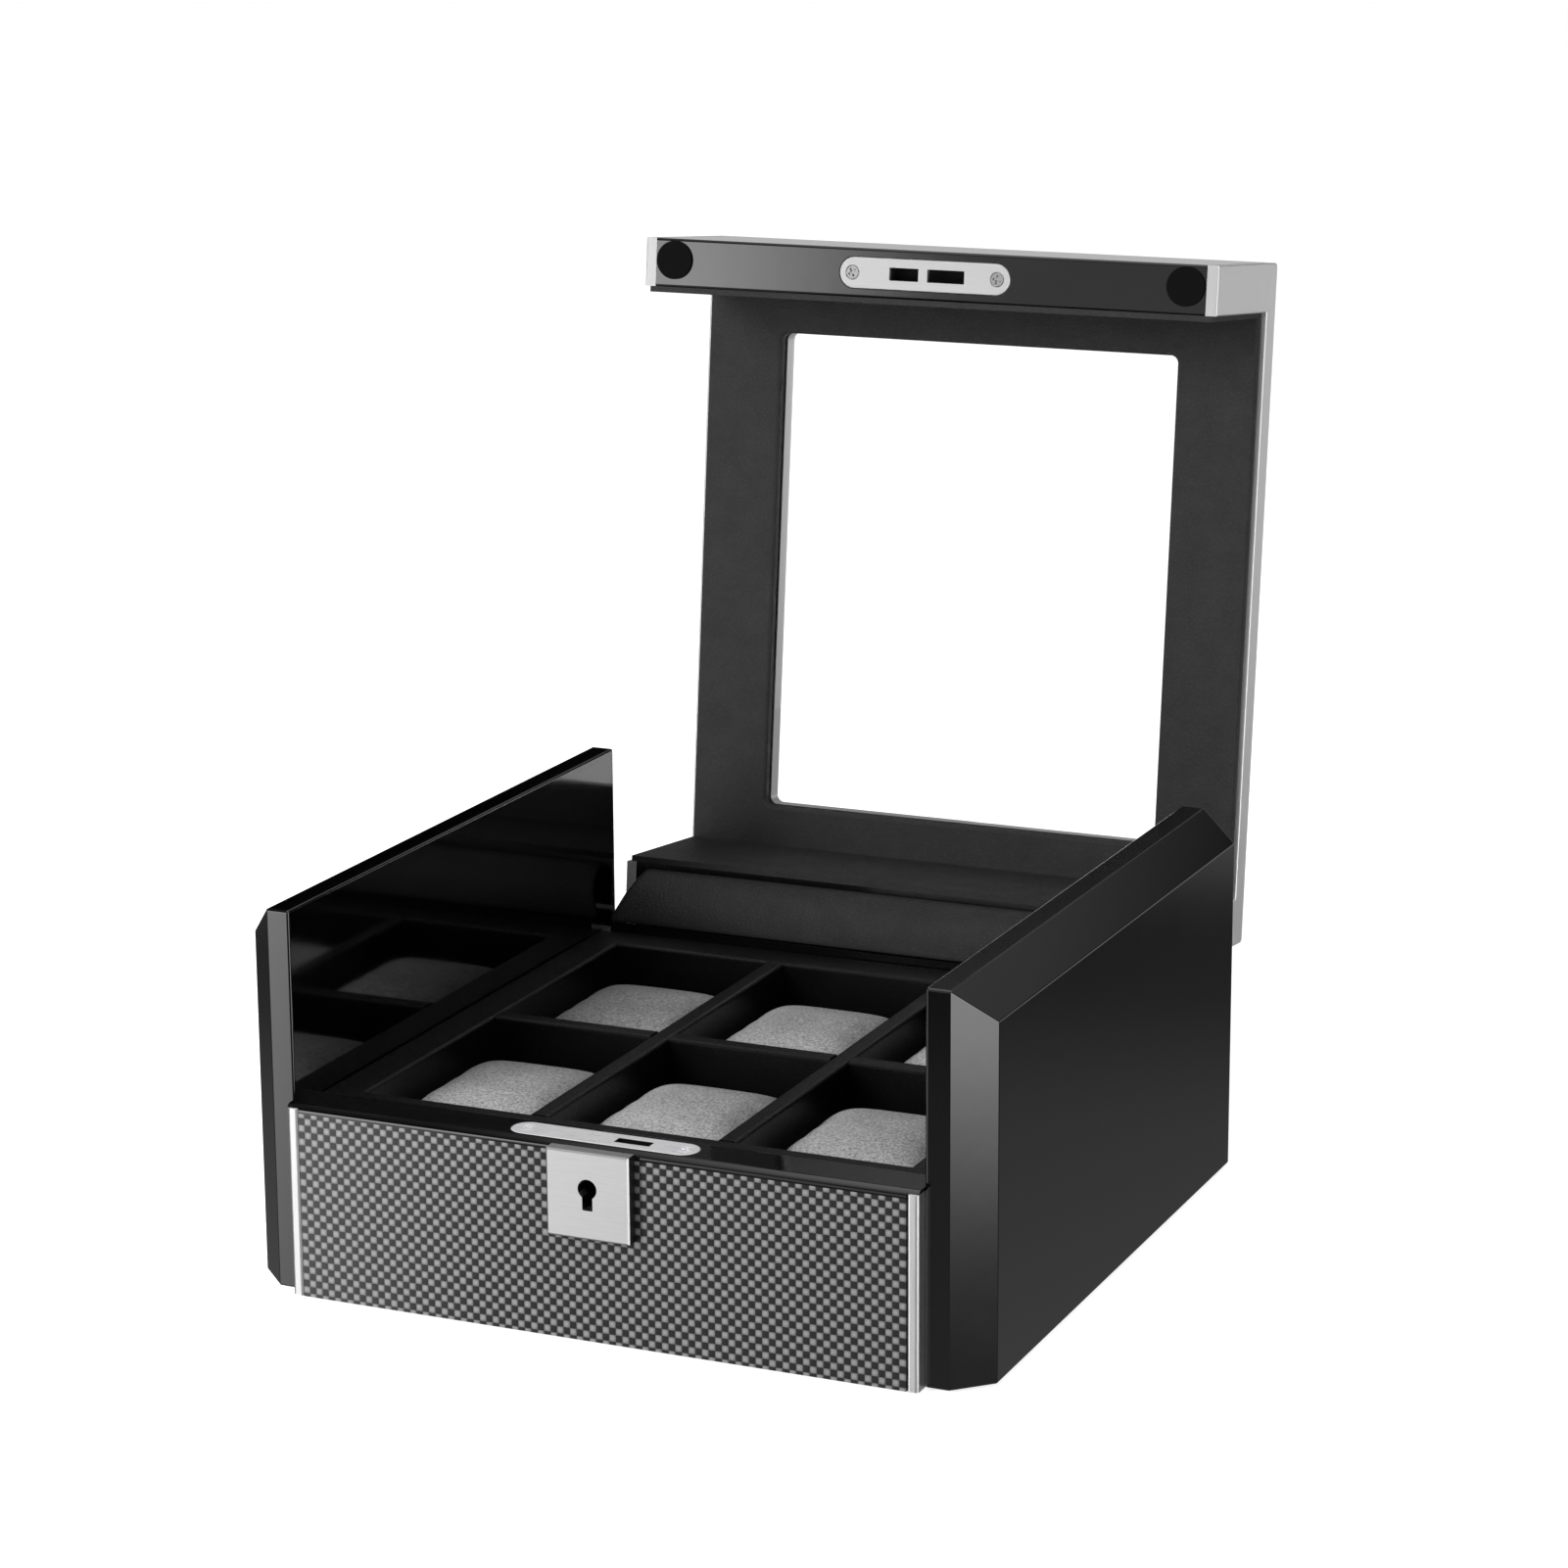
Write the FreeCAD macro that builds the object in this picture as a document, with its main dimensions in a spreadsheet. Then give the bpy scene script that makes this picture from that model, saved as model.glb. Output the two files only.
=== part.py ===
import FreeCAD, Part
import math
import os
import Sketcher
from FreeCAD import Vector

# A lockable six-place watch box: a case between two bevelled side panels, a C-shaped lid with a
# window hinged at the back, a leather tray with six cushions, and a lock with a turning hook.
# X runs to the right, Y to the back and Z up, in millimetres. The origin is the middle of the
# underside. The lid's pieces are drawn shut and their placement turns them open on the hinge.

doc = FreeCAD.newDocument("watch_box")
sheet = doc.addObject("Spreadsheet::Sheet", "sizes")

# Driving dimensions
DRIVING = {
    "outer_width": "225",  # over the two side panels
    "side_depth": "206",
    "side_height": "111.5",
    "side_thickness": "17",
    "side_chamfer": "10",  # on the front and top outer edges
    "side_radius": "0.7",  # polished edges of the side panels
    "band_step": "4.5",  # front panel, lid and back stand proud of the side panels
    "felt_thickness": "1",
    "felt_inset": "5",
    "case_height": "56.7",  # front and back panels
    "board_thickness": "15.2",  # front, back and both lips of the lid
    "rail_height": "2.5",  # lacquered rail over the skin, and under it on the lid
    "rail_radius": "2",
    "skin_thickness": "0.8",
    "strip_width": "3.5",  # metal strips at the ends of the front and back panels
    "strip_radius": "1",
    "strip_drop": "1",  # strips end this far below the case top, under the rail
    "strip_edge": "0.3",
    "base_thickness": "6",
    "parting_gap": "1",
    "lid_side_gap": "0.6",
    "lid_open": "96.2",  # degrees from shut to the hinge's stop
    "cheek_width": "3.6",  # C-shaped metal cheeks of the lid
    "lid_band": "8.5",
    "lid_radius": "1.5",
    "lip_radius": "0.8",
    "cheek_radius": "0.5",
    "lining_thickness": "3.2",
    "lip_lining": "1.8",
    "lining_inset": "1.7",
    "lining_gap": "0.3",
    "lining_radius": "1",
    "window_width": "135",
    "window_length": "155",
    "window_radius": "2.5",
    "window_roll": "1.2",  # leather edge turned in at the window
    "bezel_wall": "1.2",
    "glass_thickness": "3",
    "glass_margin": "4",
    "glass_gap": "0.2",
    "tray_floor": "3",
    "tray_drop": "2.2",  # tray top below the case top
    "tray_side": "12",  # borders round the six compartments
    "tray_front": "9.3",
    "tray_rear": "13.3",
    "tray_radius": "1.2",
    "divider": "6",
    "lap_gap": "0.05",
    "cushion_side": "2.8",  # room beside a cushion
    "cushion_end": "3.5",  # room before and behind it
    "cushion_lift": "0.3",
    "cushion_drop": "5",  # crown below the tray top
    "cushion_foot": "10",  # foot drawn in from the bulge, front and rear
    "cushion_shoulder": "5.5",  # top seam drawn in from the bulge
    "cushion_crown": "6.5",  # crown above the top seam
    "cushion_panel": "2.6",  # end panel swells past its seam
    "cushion_draw": "5",  # end panel drawn in all round
    "hinge_inset": "32",  # hinge middle from the end of the board
    "hinge_overhang": "0.5",  # pin behind the rear face
    "leaf_length": "32",
    "leaf_reach": "12",
    "leaf_thickness": "1.2",
    "barrel_radius": "2.5",
    "hinge_gap": "0.3",
    "pin_radius": "1.25",
    "pin_gap": "0.06",
    "cover_thickness": "1.2",
    "cover_seat": "2.6",  # leather hinge cover, from the inner edges of the two rear boards
    "cover_bulge": "3",
    "cover_foot_inset": "1.5",  # clear of the side panels at the tray
    "cover_lip_inset": "8",
    "escutcheon_size": "25",
    "escutcheon_thickness": "4",
    "escutcheon_drop": "0.6",
    "escutcheon_edge": "0.5",
    "key_drop": "11.1",  # key axis below the case top
    "keyhole_radius": "2.85",
    "keyhole_slot": "3.1",
    "keyhole_reach": "6.1",
    "rotor_radius": "7",
    "rotor_gap": "0.15",
    "claw_inner": "14.2",
    "claw_outer": "16.5",
    "claw_thickness": "2.4",
    "claw_tip": "32",  # degrees above level when unlocked
    "claw_arm": "50",  # degrees of the arm below level
    "claw_arm_angle": "8",
    "claw_hub": "2.2",
    "claw_gap": "0.6",
    "lock_half_width": "20",
    "lock_thickness": "8",
    "lock_depth": "18.5",  # lock case below the key axis
    "lock_gap": "0.2",
    "plate_length": "57",  # lock face plate and strike plate
    "plate_width": "10.2",
    "plate_thickness": "1.5",
    "plate_edge": "0.4",
    "face_slot_start": "3.4",
    "face_slot_end": "14.1",
    "strike_left_start": "-11.6",
    "strike_left_end": "-2",
    "strike_right_start": "1",
    "strike_right_end": "13.2",
    "strike_hole": "4",
    "claw_pocket": "6.5",
    "screw_x": "24",
    "head_radius": "2.3",
    "head_height": "0.8",
    "shank_radius": "1.1",
    "screw_length": "8",
    "leaf_screw_x": "9",
    "leaf_screw_y": "8.6",
    "leaf_head_radius": "1.9",
    "leaf_head_height": "0.6",
    "pad_radius": "6",
    "pad_thickness": "0.8",
    "pad_inset": "6.5",  # pad middle from the end of the lip
    "pad_setback": "6.7",
}

# Places worked out from them
DERIVED = {
    "inner_half": "outer_width / 2 - side_thickness",
    "board_half": "inner_half - strip_width",
    "lid_half": "inner_half - lid_side_gap",
    "lid_board_half": "lid_half - cheek_width",
    "lining_half": "lid_half - lining_inset",
    "side_top": "felt_thickness + side_height",
    "case_top": "felt_thickness + case_height",
    "front_face": "-side_depth / 2 - band_step",
    "front_skin": "front_face + skin_thickness",
    "front_inner": "front_face + board_thickness",
    "rear_face": "side_depth / 2 + band_step",
    "rear_inner": "rear_face - board_thickness",
    "lid_bottom": "case_top + parting_gap",
    "lid_top": "side_top + band_step",
    "lid_under": "lid_top - lid_band",
    "lid_board_top": "lid_top - skin_thickness",
    "lining_under": "lid_under - lining_thickness",
    "glass_top": "lid_under + glass_thickness",
    "window_half": "window_width / 2",
    "window_end": "window_length / 2",
    "base_top": "felt_thickness + base_thickness",
    "floor_top": "base_top + tray_floor",
    "tray_top": "case_top - tray_drop",
    "tray_half": "inner_half - tray_side",
    "row_front": "front_inner + tray_front",
    "row_rear": "rear_inner - tray_rear",
    "row_middle": "(row_front + row_rear) / 2",
    "lap_height": "(floor_top + tray_top) / 2",
    "column_pitch": "(2 * tray_half + divider) / 3",
    "row_pitch": "(row_rear - row_front + divider) / 2",
    "cushion_half": "(column_pitch - divider) / 2 - cushion_side",
    "cushion_depth": "row_pitch - divider - 2 * cushion_end",
    "cushion_height": "tray_top - cushion_drop - floor_top - cushion_lift",
    "hinge_x": "board_half - hinge_inset",
    "hinge_y": "rear_face + hinge_overhang",
    "hinge_z": "case_top + parting_gap / 2",
    "barrel_room": "barrel_radius + hinge_gap",
    "knuckle_half": "leaf_length / 6",
    "turn_y": "hinge_y - hinge_y * cos(lid_open * 1 deg) - hinge_z * sin(lid_open * 1 deg)",
    "turn_z": "hinge_z + hinge_y * sin(lid_open * 1 deg) - hinge_z * cos(lid_open * 1 deg)",
    "lock_y": "front_face + board_thickness / 2",
    "key_z": "case_top - key_drop",
    "plate_end": "plate_length / 2 - plate_width / 2",
    "plate_under": "case_top - plate_thickness",
    "strike_top": "lid_bottom + plate_thickness",
    "strip_top": "case_top - strip_drop",
    "escutcheon_top": "case_top - escutcheon_drop",
    "claw_room": "claw_outer + claw_gap",
    "pad_x": "lid_board_half - pad_inset",
}


def fill_sheet():
    cells = list(DRIVING.items()) + [(name, "=" + text) for name, text in DERIVED.items()]
    for row, (alias, content) in enumerate(cells, start=1):
        sheet.set(f"A{row}", alias)
        sheet.set(f"B{row}", content)
        sheet.setAlias(f"B{row}", alias)
    doc.recompute()


fill_sheet()
NAMES = sorted([*DRIVING, *DERIVED], key=len, reverse=True)
PLANES = {"X": "YZ_Plane", "Y": "XZ_Plane", "Z": "XY_Plane"}
TOUCH = 1e-4  # an edge this near to a place lies there, in millimetres
PIECES = []


def size(text):
    """The value of an expression of sheet names."""
    return float(sheet.evalExpression(text))


def bound(text):
    """The same expression as an object outside the sheet writes it."""
    words = []
    for word in text.replace("(", "( ").replace(")", " )").split():
        negative = word.startswith("-") and word[1:] in NAMES
        if word in NAMES:
            words.append("sizes." + word)
        elif negative:
            words.append("-sizes." + word[1:])
        else:
            words.append(word)
    return " ".join(words)


def keep(piece, label):
    piece.Label = label
    PIECES.append(piece)
    return piece


def hang(piece):
    """Turns a piece of the lid from shut to open about the hinge pin."""
    piece.Placement.Rotation = FreeCAD.Rotation(Vector(1, 0, 0), -size("lid_open"))
    piece.setExpression("Placement.Base.y", bound("turn_y"))
    piece.setExpression("Placement.Base.z", bound("turn_z"))
    piece.setExpression("Placement.Rotation.Angle", bound("-lid_open"))


def new_body(label, on_lid=False):
    body = keep(doc.addObject("PartDesign::Body", label), label)
    if on_lid:
        hang(body)
    return body


def solid_piece(label, shape, on_lid=False):
    piece = keep(doc.addObject("Part::Feature", label), label)
    piece.Shape = shape
    if on_lid:
        hang(piece)
    return piece


def box(low_u, low_v, high_u, high_v):
    return [(low_u, low_v), (high_u, low_v), (high_u, high_v), (low_u, high_v)]


def disc(centre_u, centre_v, radius):
    return {"centre": (centre_u, centre_v), "radius": radius}


def fix_point(sketch, geometry, position, point):
    for kind, text in zip(("DistanceX", "DistanceY"), point):
        constraint = Sketcher.Constraint(kind, -1, 1, geometry, position, size(text))
        number = sketch.addConstraint(constraint)
        sketch.setExpression(f"Constraints[{number}]", bound(text))


def draw_disc(sketch, loop):
    u, v = (size(text) for text in loop["centre"])
    circle = Part.Circle(Vector(u, v, 0), Vector(0, 0, 1), size(loop["radius"]))
    number = sketch.addGeometry(circle)
    fix_point(sketch, number, 3, loop["centre"])
    radius = sketch.addConstraint(Sketcher.Constraint("Radius", number, size(loop["radius"])))
    sketch.setExpression(f"Constraints[{radius}]", bound(loop["radius"]))


def draw_polygon(sketch, points):
    corners = [Vector(size(u), size(v), 0) for u, v in points]
    lines = []
    for start, end in zip(corners, corners[1:] + corners[:1]):
        lines.append(sketch.addGeometry(Part.LineSegment(start, end)))
    for line, following in zip(lines, lines[1:] + lines[:1]):
        sketch.addConstraint(Sketcher.Constraint("Coincident", line, 2, following, 1))
    for line, point in zip(lines, points):
        fix_point(sketch, line, 1, point)


def draw(body, axis, place, loops):
    """A sketch across an axis, at a place along it."""
    plane = next(f for f in body.Origin.OriginFeatures if f.Role == PLANES[axis])
    sketch = body.newObject("Sketcher::SketchObject", body.Label + "_sketch")
    sketch.AttachmentSupport = [(plane, "")]
    sketch.MapMode = "FlatFace"
    offset = f"-({place})" if axis == "Y" else place
    sketch.setExpression("AttachmentOffset.Base.z", bound(offset))
    for loop in loops:
        if isinstance(loop, dict):
            draw_disc(sketch, loop)
        else:
            draw_polygon(sketch, loop)
    return sketch


def add(body, axis, low, high, *loops):
    """Pads the loops from low to high along an axis."""
    sketch = draw(body, axis, high if axis == "Y" else low, loops)
    pad = body.newObject("PartDesign::Pad", body.Label + "_pad")
    pad.Profile = sketch
    pad.setExpression("Length", bound(f"( {high} ) - ( {low} )"))
    doc.recompute()


def cut(body, axis, low, high, *loops):
    """Pockets the loops from low to high along an axis."""
    before = body.Shape.Volume
    sketch = draw(body, axis, low if axis == "Y" else high, loops)
    pocket = body.newObject("PartDesign::Pocket", body.Label + "_pocket")
    pocket.Profile = sketch
    pocket.setExpression("Length", bound(f"( {high} ) - ( {low} )"))
    doc.recompute()
    if not body.Shape.Volume < before:
        raise RuntimeError(f"a pocket in {body.Label} cuts nothing")


def edges_at(body, **places):
    """Names of the edges that lie at the given places, such as z="case_top"."""
    found = []
    for number, edge in enumerate(body.Tip.Shape.Edges, start=1):
        limits = edge.BoundBox
        ends = {
            "x": (limits.XMin, limits.XMax),
            "y": (limits.YMin, limits.YMax),
            "z": (limits.ZMin, limits.ZMax),
        }
        if all(abs(end - size(text)) < TOUCH for axis, text in places.items() for end in ends[axis]):
            found.append(f"Edge{number}")
    return found


def all_edges(body):
    return [f"Edge{number}" for number in range(1, len(body.Tip.Shape.Edges) + 1)]


def soften(body, kind, amount, names):
    """A fillet or chamfer on the named edges of a body's last feature."""
    if not names:
        raise RuntimeError(f"no edge to soften on {body.Label}")
    base = body.Tip
    feature = body.newObject("PartDesign::" + kind, f"{body.Label}_{kind}")
    feature.Base = (base, names)
    feature.setExpression("Radius" if kind == "Fillet" else "Size", bound(amount))
    doc.recompute()


def both_sides(inner, outer):
    """A range of X on the right, and its mirror image on the left."""
    return {"right": (inner, outer), "left": (f"-({outer})", f"-({inner})")}


def stadium(work, body, low, high, room="0"):
    """Adds or cuts the rounded plate's outline on the lock's middle line."""
    half = f"( plate_width / 2 + {room} )"
    work(body, "Z", low, high, box("-plate_end", f"lock_y - {half}", "plate_end", f"lock_y + {half}"))
    ends = [disc(place, "lock_y", half) for place in ("-plate_end", "plate_end")]
    work(body, "Z", low, high, *ends)


def screws(label, places, top, direction, head, on_lid=False):
    """A group of flush screws: head flush at a height, shank along a direction."""
    head_radius, head_height = head
    shapes = []
    for x, y in places:
        point = Vector(x, y, top)
        cap = Part.makeCylinder(head_radius, head_height, point, direction)
        shank = Part.makeCylinder(size("shank_radius"), size("screw_length"), point, direction)
        shapes.append(cap.fuse(shank).removeSplitter())
    return solid_piece(label, Part.makeCompound(shapes), on_lid)


# Side panels: lacquered boards with wide bevels on the front and top outer edges
for side, (low, high) in both_sides("inner_half", "outer_width / 2").items():
    panel = new_body("side_panel_" + side)
    outline = box("-side_depth / 2", "felt_thickness", "side_depth / 2", "side_top")
    add(panel, "X", low, high, outline)
    outer = high if side == "right" else low
    bevels = edges_at(panel, x=outer, y="-side_depth / 2") + edges_at(panel, x=outer, z="side_top")
    soften(panel, "Chamfer", "side_chamfer", bevels)
    soften(panel, "Fillet", "side_radius", all_edges(panel))

# Front panel: board with a rail over the carbon skin and the end strips, mortised for the lock
front_panel = new_body("front_panel")
board = box("front_skin", "felt_thickness", "front_inner", "case_top")
add(front_panel, "X", "-board_half", "board_half", board)
rail = box("front_face", "case_top - rail_height", "front_inner", "case_top")
add(front_panel, "X", "-board_half", "board_half", rail)
tongue = box("front_face", "strip_top", "front_inner", "case_top")
add(front_panel, "X", "-inner_half", "inner_half", tongue)
for place in ("front_face", "front_inner"):
    soften(front_panel, "Fillet", "rail_radius", edges_at(front_panel, y=place, z="case_top"))
stadium(cut, front_panel, "plate_under", "case_top")
mortise_half = "( lock_thickness / 2 + lock_gap )"
mortise = box(
    "-lock_half_width - lock_gap", f"lock_y - {mortise_half}",
    "lock_half_width + lock_gap", f"lock_y + {mortise_half}",
)
cut(front_panel, "Z", "key_z - lock_depth", "case_top", mortise)
cut(front_panel, "Y", "front_face", "lock_y", disc("0", "key_z", "rotor_radius + rotor_gap"))
pilots = [disc(place, "lock_y", "shank_radius") for place in ("-screw_x", "screw_x")]
cut(front_panel, "Z", "case_top - screw_length", "case_top", *pilots)

# Carbon-weave skin glued on the front panel
front_skin = new_body("front_carbon_skin")
skin_outline = box("-board_half", "felt_thickness", "board_half", "case_top - rail_height")
add(front_skin, "Y", "front_face", "front_skin", skin_outline)
cut(front_skin, "Y", "front_face", "front_skin", disc("0", "key_z", "rotor_radius + rotor_gap"))

# Back panel: plain lacquered board with tongues over its end strips, mortised for the hinges
back_panel = new_body("back_panel")
board = box("rear_inner", "felt_thickness", "rear_face", "case_top")
add(back_panel, "X", "-board_half", "board_half", board)
tongue = box("rear_inner", "strip_top", "rear_face", "case_top")
add(back_panel, "X", "-inner_half", "inner_half", tongue)
for hinge in ("-hinge_x", "hinge_x"):
    seat = box(
        f"{hinge} - leaf_length / 2", "hinge_y - leaf_reach", f"{hinge} + leaf_length / 2", "rear_face"
    )
    cut(back_panel, "Z", "case_top - leaf_thickness", "case_top", seat)
    span = (f"{hinge} - leaf_length / 2 - hinge_gap", f"{hinge} + leaf_length / 2 + hinge_gap")
    cut(back_panel, "X", *span, disc("hinge_y", "hinge_z", "barrel_room"))
    pilots = [
        disc(f"{hinge} + {place}", "hinge_y - leaf_screw_y", "shank_radius")
        for place in ("-leaf_screw_x", "leaf_screw_x")
    ]
    cut(back_panel, "Z", "case_top - screw_length", "case_top", *pilots)

# Metal strips that close the ends of the front and back panels
for side, (low, high) in both_sides("board_half", "inner_half").items():
    for end, near, far in (("front", "front_face", "front_inner"), ("back", "rear_inner", "rear_face")):
        strip = new_body(f"{end}_strip_{side}")
        add(strip, "X", low, high, box(near, "felt_thickness", far, "strip_top"))
        shown = near if end == "front" else far
        corners = edges_at(strip, x=low, y=shown) + edges_at(strip, x=high, y=shown)
        soften(strip, "Fillet", "strip_radius", corners)
        soften(strip, "Fillet", "strip_edge", edges_at(strip, y=shown, z="strip_top"))

# Base board and the felt under it
base_panel = new_body("base_panel")
well_outline = box("-inner_half", "front_inner", "inner_half", "rear_inner")
add(base_panel, "Z", "felt_thickness", "base_top", well_outline)
base_felt = new_body("base_felt")
felt = box(
    "-outer_width / 2 + side_chamfer + felt_inset", "-side_depth / 2 + felt_inset",
    "outer_width / 2 - side_chamfer - felt_inset", "side_depth / 2 - felt_inset",
)
add(base_felt, "Z", "0", "felt_thickness", felt)

# Leather-wrapped tray: floor, border frame and the lapped dividers of six compartments
tray_floor = new_body("tray_floor")
add(tray_floor, "Z", "base_top", "floor_top", well_outline)
tray_frame = new_body("tray_frame")
opening = box("-tray_half", "row_front", "tray_half", "row_rear")
add(tray_frame, "Z", "floor_top", "tray_top", well_outline, opening)
lips = []
for place in (
    {"x": "-tray_half"}, {"x": "tray_half"}, {"y": "row_front"}, {"y": "row_rear"},
    {"x": "-inner_half"}, {"x": "inner_half"}, {"y": "front_inner"}, {"y": "rear_inner"},
):
    lips += edges_at(tray_frame, z="tray_top", **place)
soften(tray_frame, "Fillet", "tray_radius", lips)
half_lap = "( divider / 2 + lap_gap )"
for side, place in (("left", "-column_pitch / 2"), ("right", "column_pitch / 2")):
    divider = new_body("divider_" + side)
    wall = box("row_front", "floor_top", "row_rear", "tray_top")
    low, high = f"{place} - divider / 2", f"{place} + divider / 2"
    add(divider, "X", low, high, wall)
    for edge in (low, high):
        soften(divider, "Fillet", "tray_radius", edges_at(divider, x=edge, z="tray_top"))
    notch = box(f"row_middle - {half_lap}", "floor_top", f"row_middle + {half_lap}", "lap_height")
    cut(divider, "X", low, high, notch)
cross = new_body("divider_cross")
low, high = "row_middle - divider / 2", "row_middle + divider / 2"
add(cross, "Y", low, high, box("-tray_half", "floor_top", "tray_half", "tray_top"))
for edge in (low, high):
    soften(cross, "Fillet", "tray_radius", edges_at(cross, y=edge, z="tray_top"))
for place in ("-column_pitch / 2", "column_pitch / 2"):
    notch = box(f"{place} - {half_lap}", "lap_height", f"{place} + {half_lap}", "tray_top")
    cut(cross, "Y", low, high, notch)


def cushion_section(x, draw):
    """Pillow section: flat foot, bulging sides and a crown, drawn in all round by an amount."""
    bulge = size("cushion_depth") / 2 - draw
    foot = bulge - size("cushion_foot")
    shoulder = bulge - size("cushion_shoulder")
    low, high = draw, size("cushion_height") - draw
    seam = high - size("cushion_crown")
    middle = (low + seam) / 2
    foot_front, foot_rear = Vector(x, -foot, low), Vector(x, foot, low)
    seam_front, seam_rear = Vector(x, -shoulder, seam), Vector(x, shoulder, seam)
    edges = [
        Part.LineSegment(foot_front, foot_rear),
        Part.Arc(foot_rear, Vector(x, bulge, middle), seam_rear),
        Part.Arc(seam_rear, Vector(x, 0, high), seam_front),
        Part.Arc(seam_front, Vector(x, -bulge, middle), foot_front),
    ]
    return Part.Wire([edge.toShape() for edge in edges])


def cushion_shape():
    """Pillow lofted across the box, with a swollen panel at each sewn end."""
    half, panel = size("cushion_half"), size("cushion_panel")
    draw = size("cushion_draw")
    stations = ((-half, draw), (panel - half, 0), (half - panel, 0), (half, draw))
    return Part.makeLoft([cushion_section(x, inset) for x, inset in stations], True, True)


# Six watch cushions, each lying loose in its compartment
for row, row_sign in (("front", -1), ("rear", 1)):
    for column, column_sign in (("left", -1), ("middle", 0), ("right", 1)):
        cushion = solid_piece(f"cushion_{row}_{column}", cushion_shape())
        cushion.setExpression("Placement.Base.x", bound(f"{column_sign} * column_pitch"))
        cushion.setExpression("Placement.Base.y", bound(f"row_middle + {row_sign} * row_pitch / 2"))
        cushion.setExpression("Placement.Base.z", bound("floor_top + cushion_lift"))

# Two butt hinges let into the back panel and the rear lip of the lid
CASE_HEADS = (size("leaf_head_radius"), size("leaf_head_height"))
for side, hinge in (("left", "-hinge_x"), ("right", "hinge_x")):
    ends = (f"{hinge} - leaf_length / 2", f"{hinge} + leaf_length / 2")
    gaps = (f"{hinge} - knuckle_half - hinge_gap", f"{hinge} + knuckle_half + hinge_gap")
    knuckle = (f"{hinge} - knuckle_half", f"{hinge} + knuckle_half")
    barrel = disc("hinge_y", "hinge_z", "barrel_radius")
    room = disc("hinge_y", "hinge_z", "barrel_room")
    bore = disc("hinge_y", "hinge_z", "pin_radius + pin_gap")
    holes = [
        (f"{hinge} + {place}", "hinge_y - leaf_screw_y") for place in ("-leaf_screw_x", "leaf_screw_x")
    ]
    heads = [disc(*hole, "leaf_head_radius") for hole in holes]
    shanks = [disc(*hole, "shank_radius") for hole in holes]

    case_leaf = new_body("hinge_case_leaf_" + side)
    leaf = box("hinge_y - leaf_reach", "case_top - leaf_thickness", "hinge_y", "case_top")
    add(case_leaf, "X", *ends, leaf)
    cut(case_leaf, "X", *gaps, room)
    add(case_leaf, "X", ends[0], gaps[0], barrel)
    add(case_leaf, "X", gaps[1], ends[1], barrel)
    cut(case_leaf, "X", *ends, bore)
    cut(case_leaf, "Z", "case_top - leaf_head_height", "case_top", *heads)
    cut(case_leaf, "Z", "case_top - leaf_thickness", "case_top", *shanks)

    lid_leaf = new_body("hinge_lid_leaf_" + side, on_lid=True)
    leaf = box("hinge_y - leaf_reach", "lid_bottom", "hinge_y", "lid_bottom + leaf_thickness")
    add(lid_leaf, "X", *ends, leaf)
    cut(lid_leaf, "X", ends[0], knuckle[0], room)
    cut(lid_leaf, "X", knuckle[1], ends[1], room)
    add(lid_leaf, "X", *knuckle, barrel)
    cut(lid_leaf, "X", *knuckle, bore)
    cut(lid_leaf, "Z", "lid_bottom", "lid_bottom + leaf_head_height", *heads)
    cut(lid_leaf, "Z", "lid_bottom", "lid_bottom + leaf_thickness", *shanks)

    pin = new_body("hinge_pin_" + side)
    add(pin, "X", *ends, disc("hinge_y", "hinge_z", "pin_radius"))

LEAF_HOLES = [
    (size(hinge) + sign * size("leaf_screw_x"), size("hinge_y - leaf_screw_y"))
    for hinge in ("-hinge_x", "hinge_x") for sign in (-1, 1)
]
screws("hinge_case_screws", LEAF_HOLES, size("case_top"), Vector(0, 0, -1), CASE_HEADS)
screws("hinge_lid_screws", LEAF_HOLES, size("lid_bottom"), Vector(0, 0, 1), CASE_HEADS, on_lid=True)


def hinge_cover_shape():
    """Leather strip bent from the back panel's inner edge up to the open lid's rear lip."""
    opened = math.radians(size("lid_open"))
    across = size("rear_inner + cover_seat - hinge_y")
    above = size("lid_bottom - hinge_z")
    lip = Vector(
        0,
        size("hinge_y") + across * math.cos(opened) + above * math.sin(opened),
        size("hinge_z") - across * math.sin(opened) + above * math.cos(opened),
    )
    foot = Vector(0, size("rear_inner + cover_seat"), size("case_top"))
    chord = (lip - foot).normalize()
    outward = Vector(0, -chord.z, chord.y)
    thick = size("cover_thickness")
    middle = (lip + foot) / 2 + outward * size("cover_bulge")
    foot_edge = foot + Vector(0, -thick, 0)
    lip_edge = lip + Vector(0, -math.cos(opened), math.sin(opened)) * thick
    inner = Part.Arc(foot, middle, lip)
    outer = Part.Arc(lip_edge, middle + outward * thick, foot_edge)
    edges = [
        inner.toShape(),
        Part.makeLine(lip, lip_edge),
        outer.toShape(),
        Part.makeLine(foot_edge, foot),
    ]
    wide, narrow = size("inner_half - cover_foot_inset"), size("inner_half - cover_lip_inset")
    face = Part.Face(Part.Wire(edges))
    face.translate(Vector(-wide, 0, 0))
    strip = face.extrude(Vector(2 * wide, 0, 0))
    limits = strip.BoundBox
    taper = [
        Vector(-wide, limits.YMin, limits.ZMin), Vector(wide, limits.YMin, limits.ZMin),
        Vector(narrow, limits.YMin, limits.ZMax), Vector(-narrow, limits.YMin, limits.ZMax),
    ]
    outline = Part.Face(Part.makePolygon(taper + taper[:1]))
    return strip.common(outline.extrude(Vector(0, limits.YLength, 0)))


# Leather cover over the hinges
solid_piece("hinge_cover", hinge_cover_shape())

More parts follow.
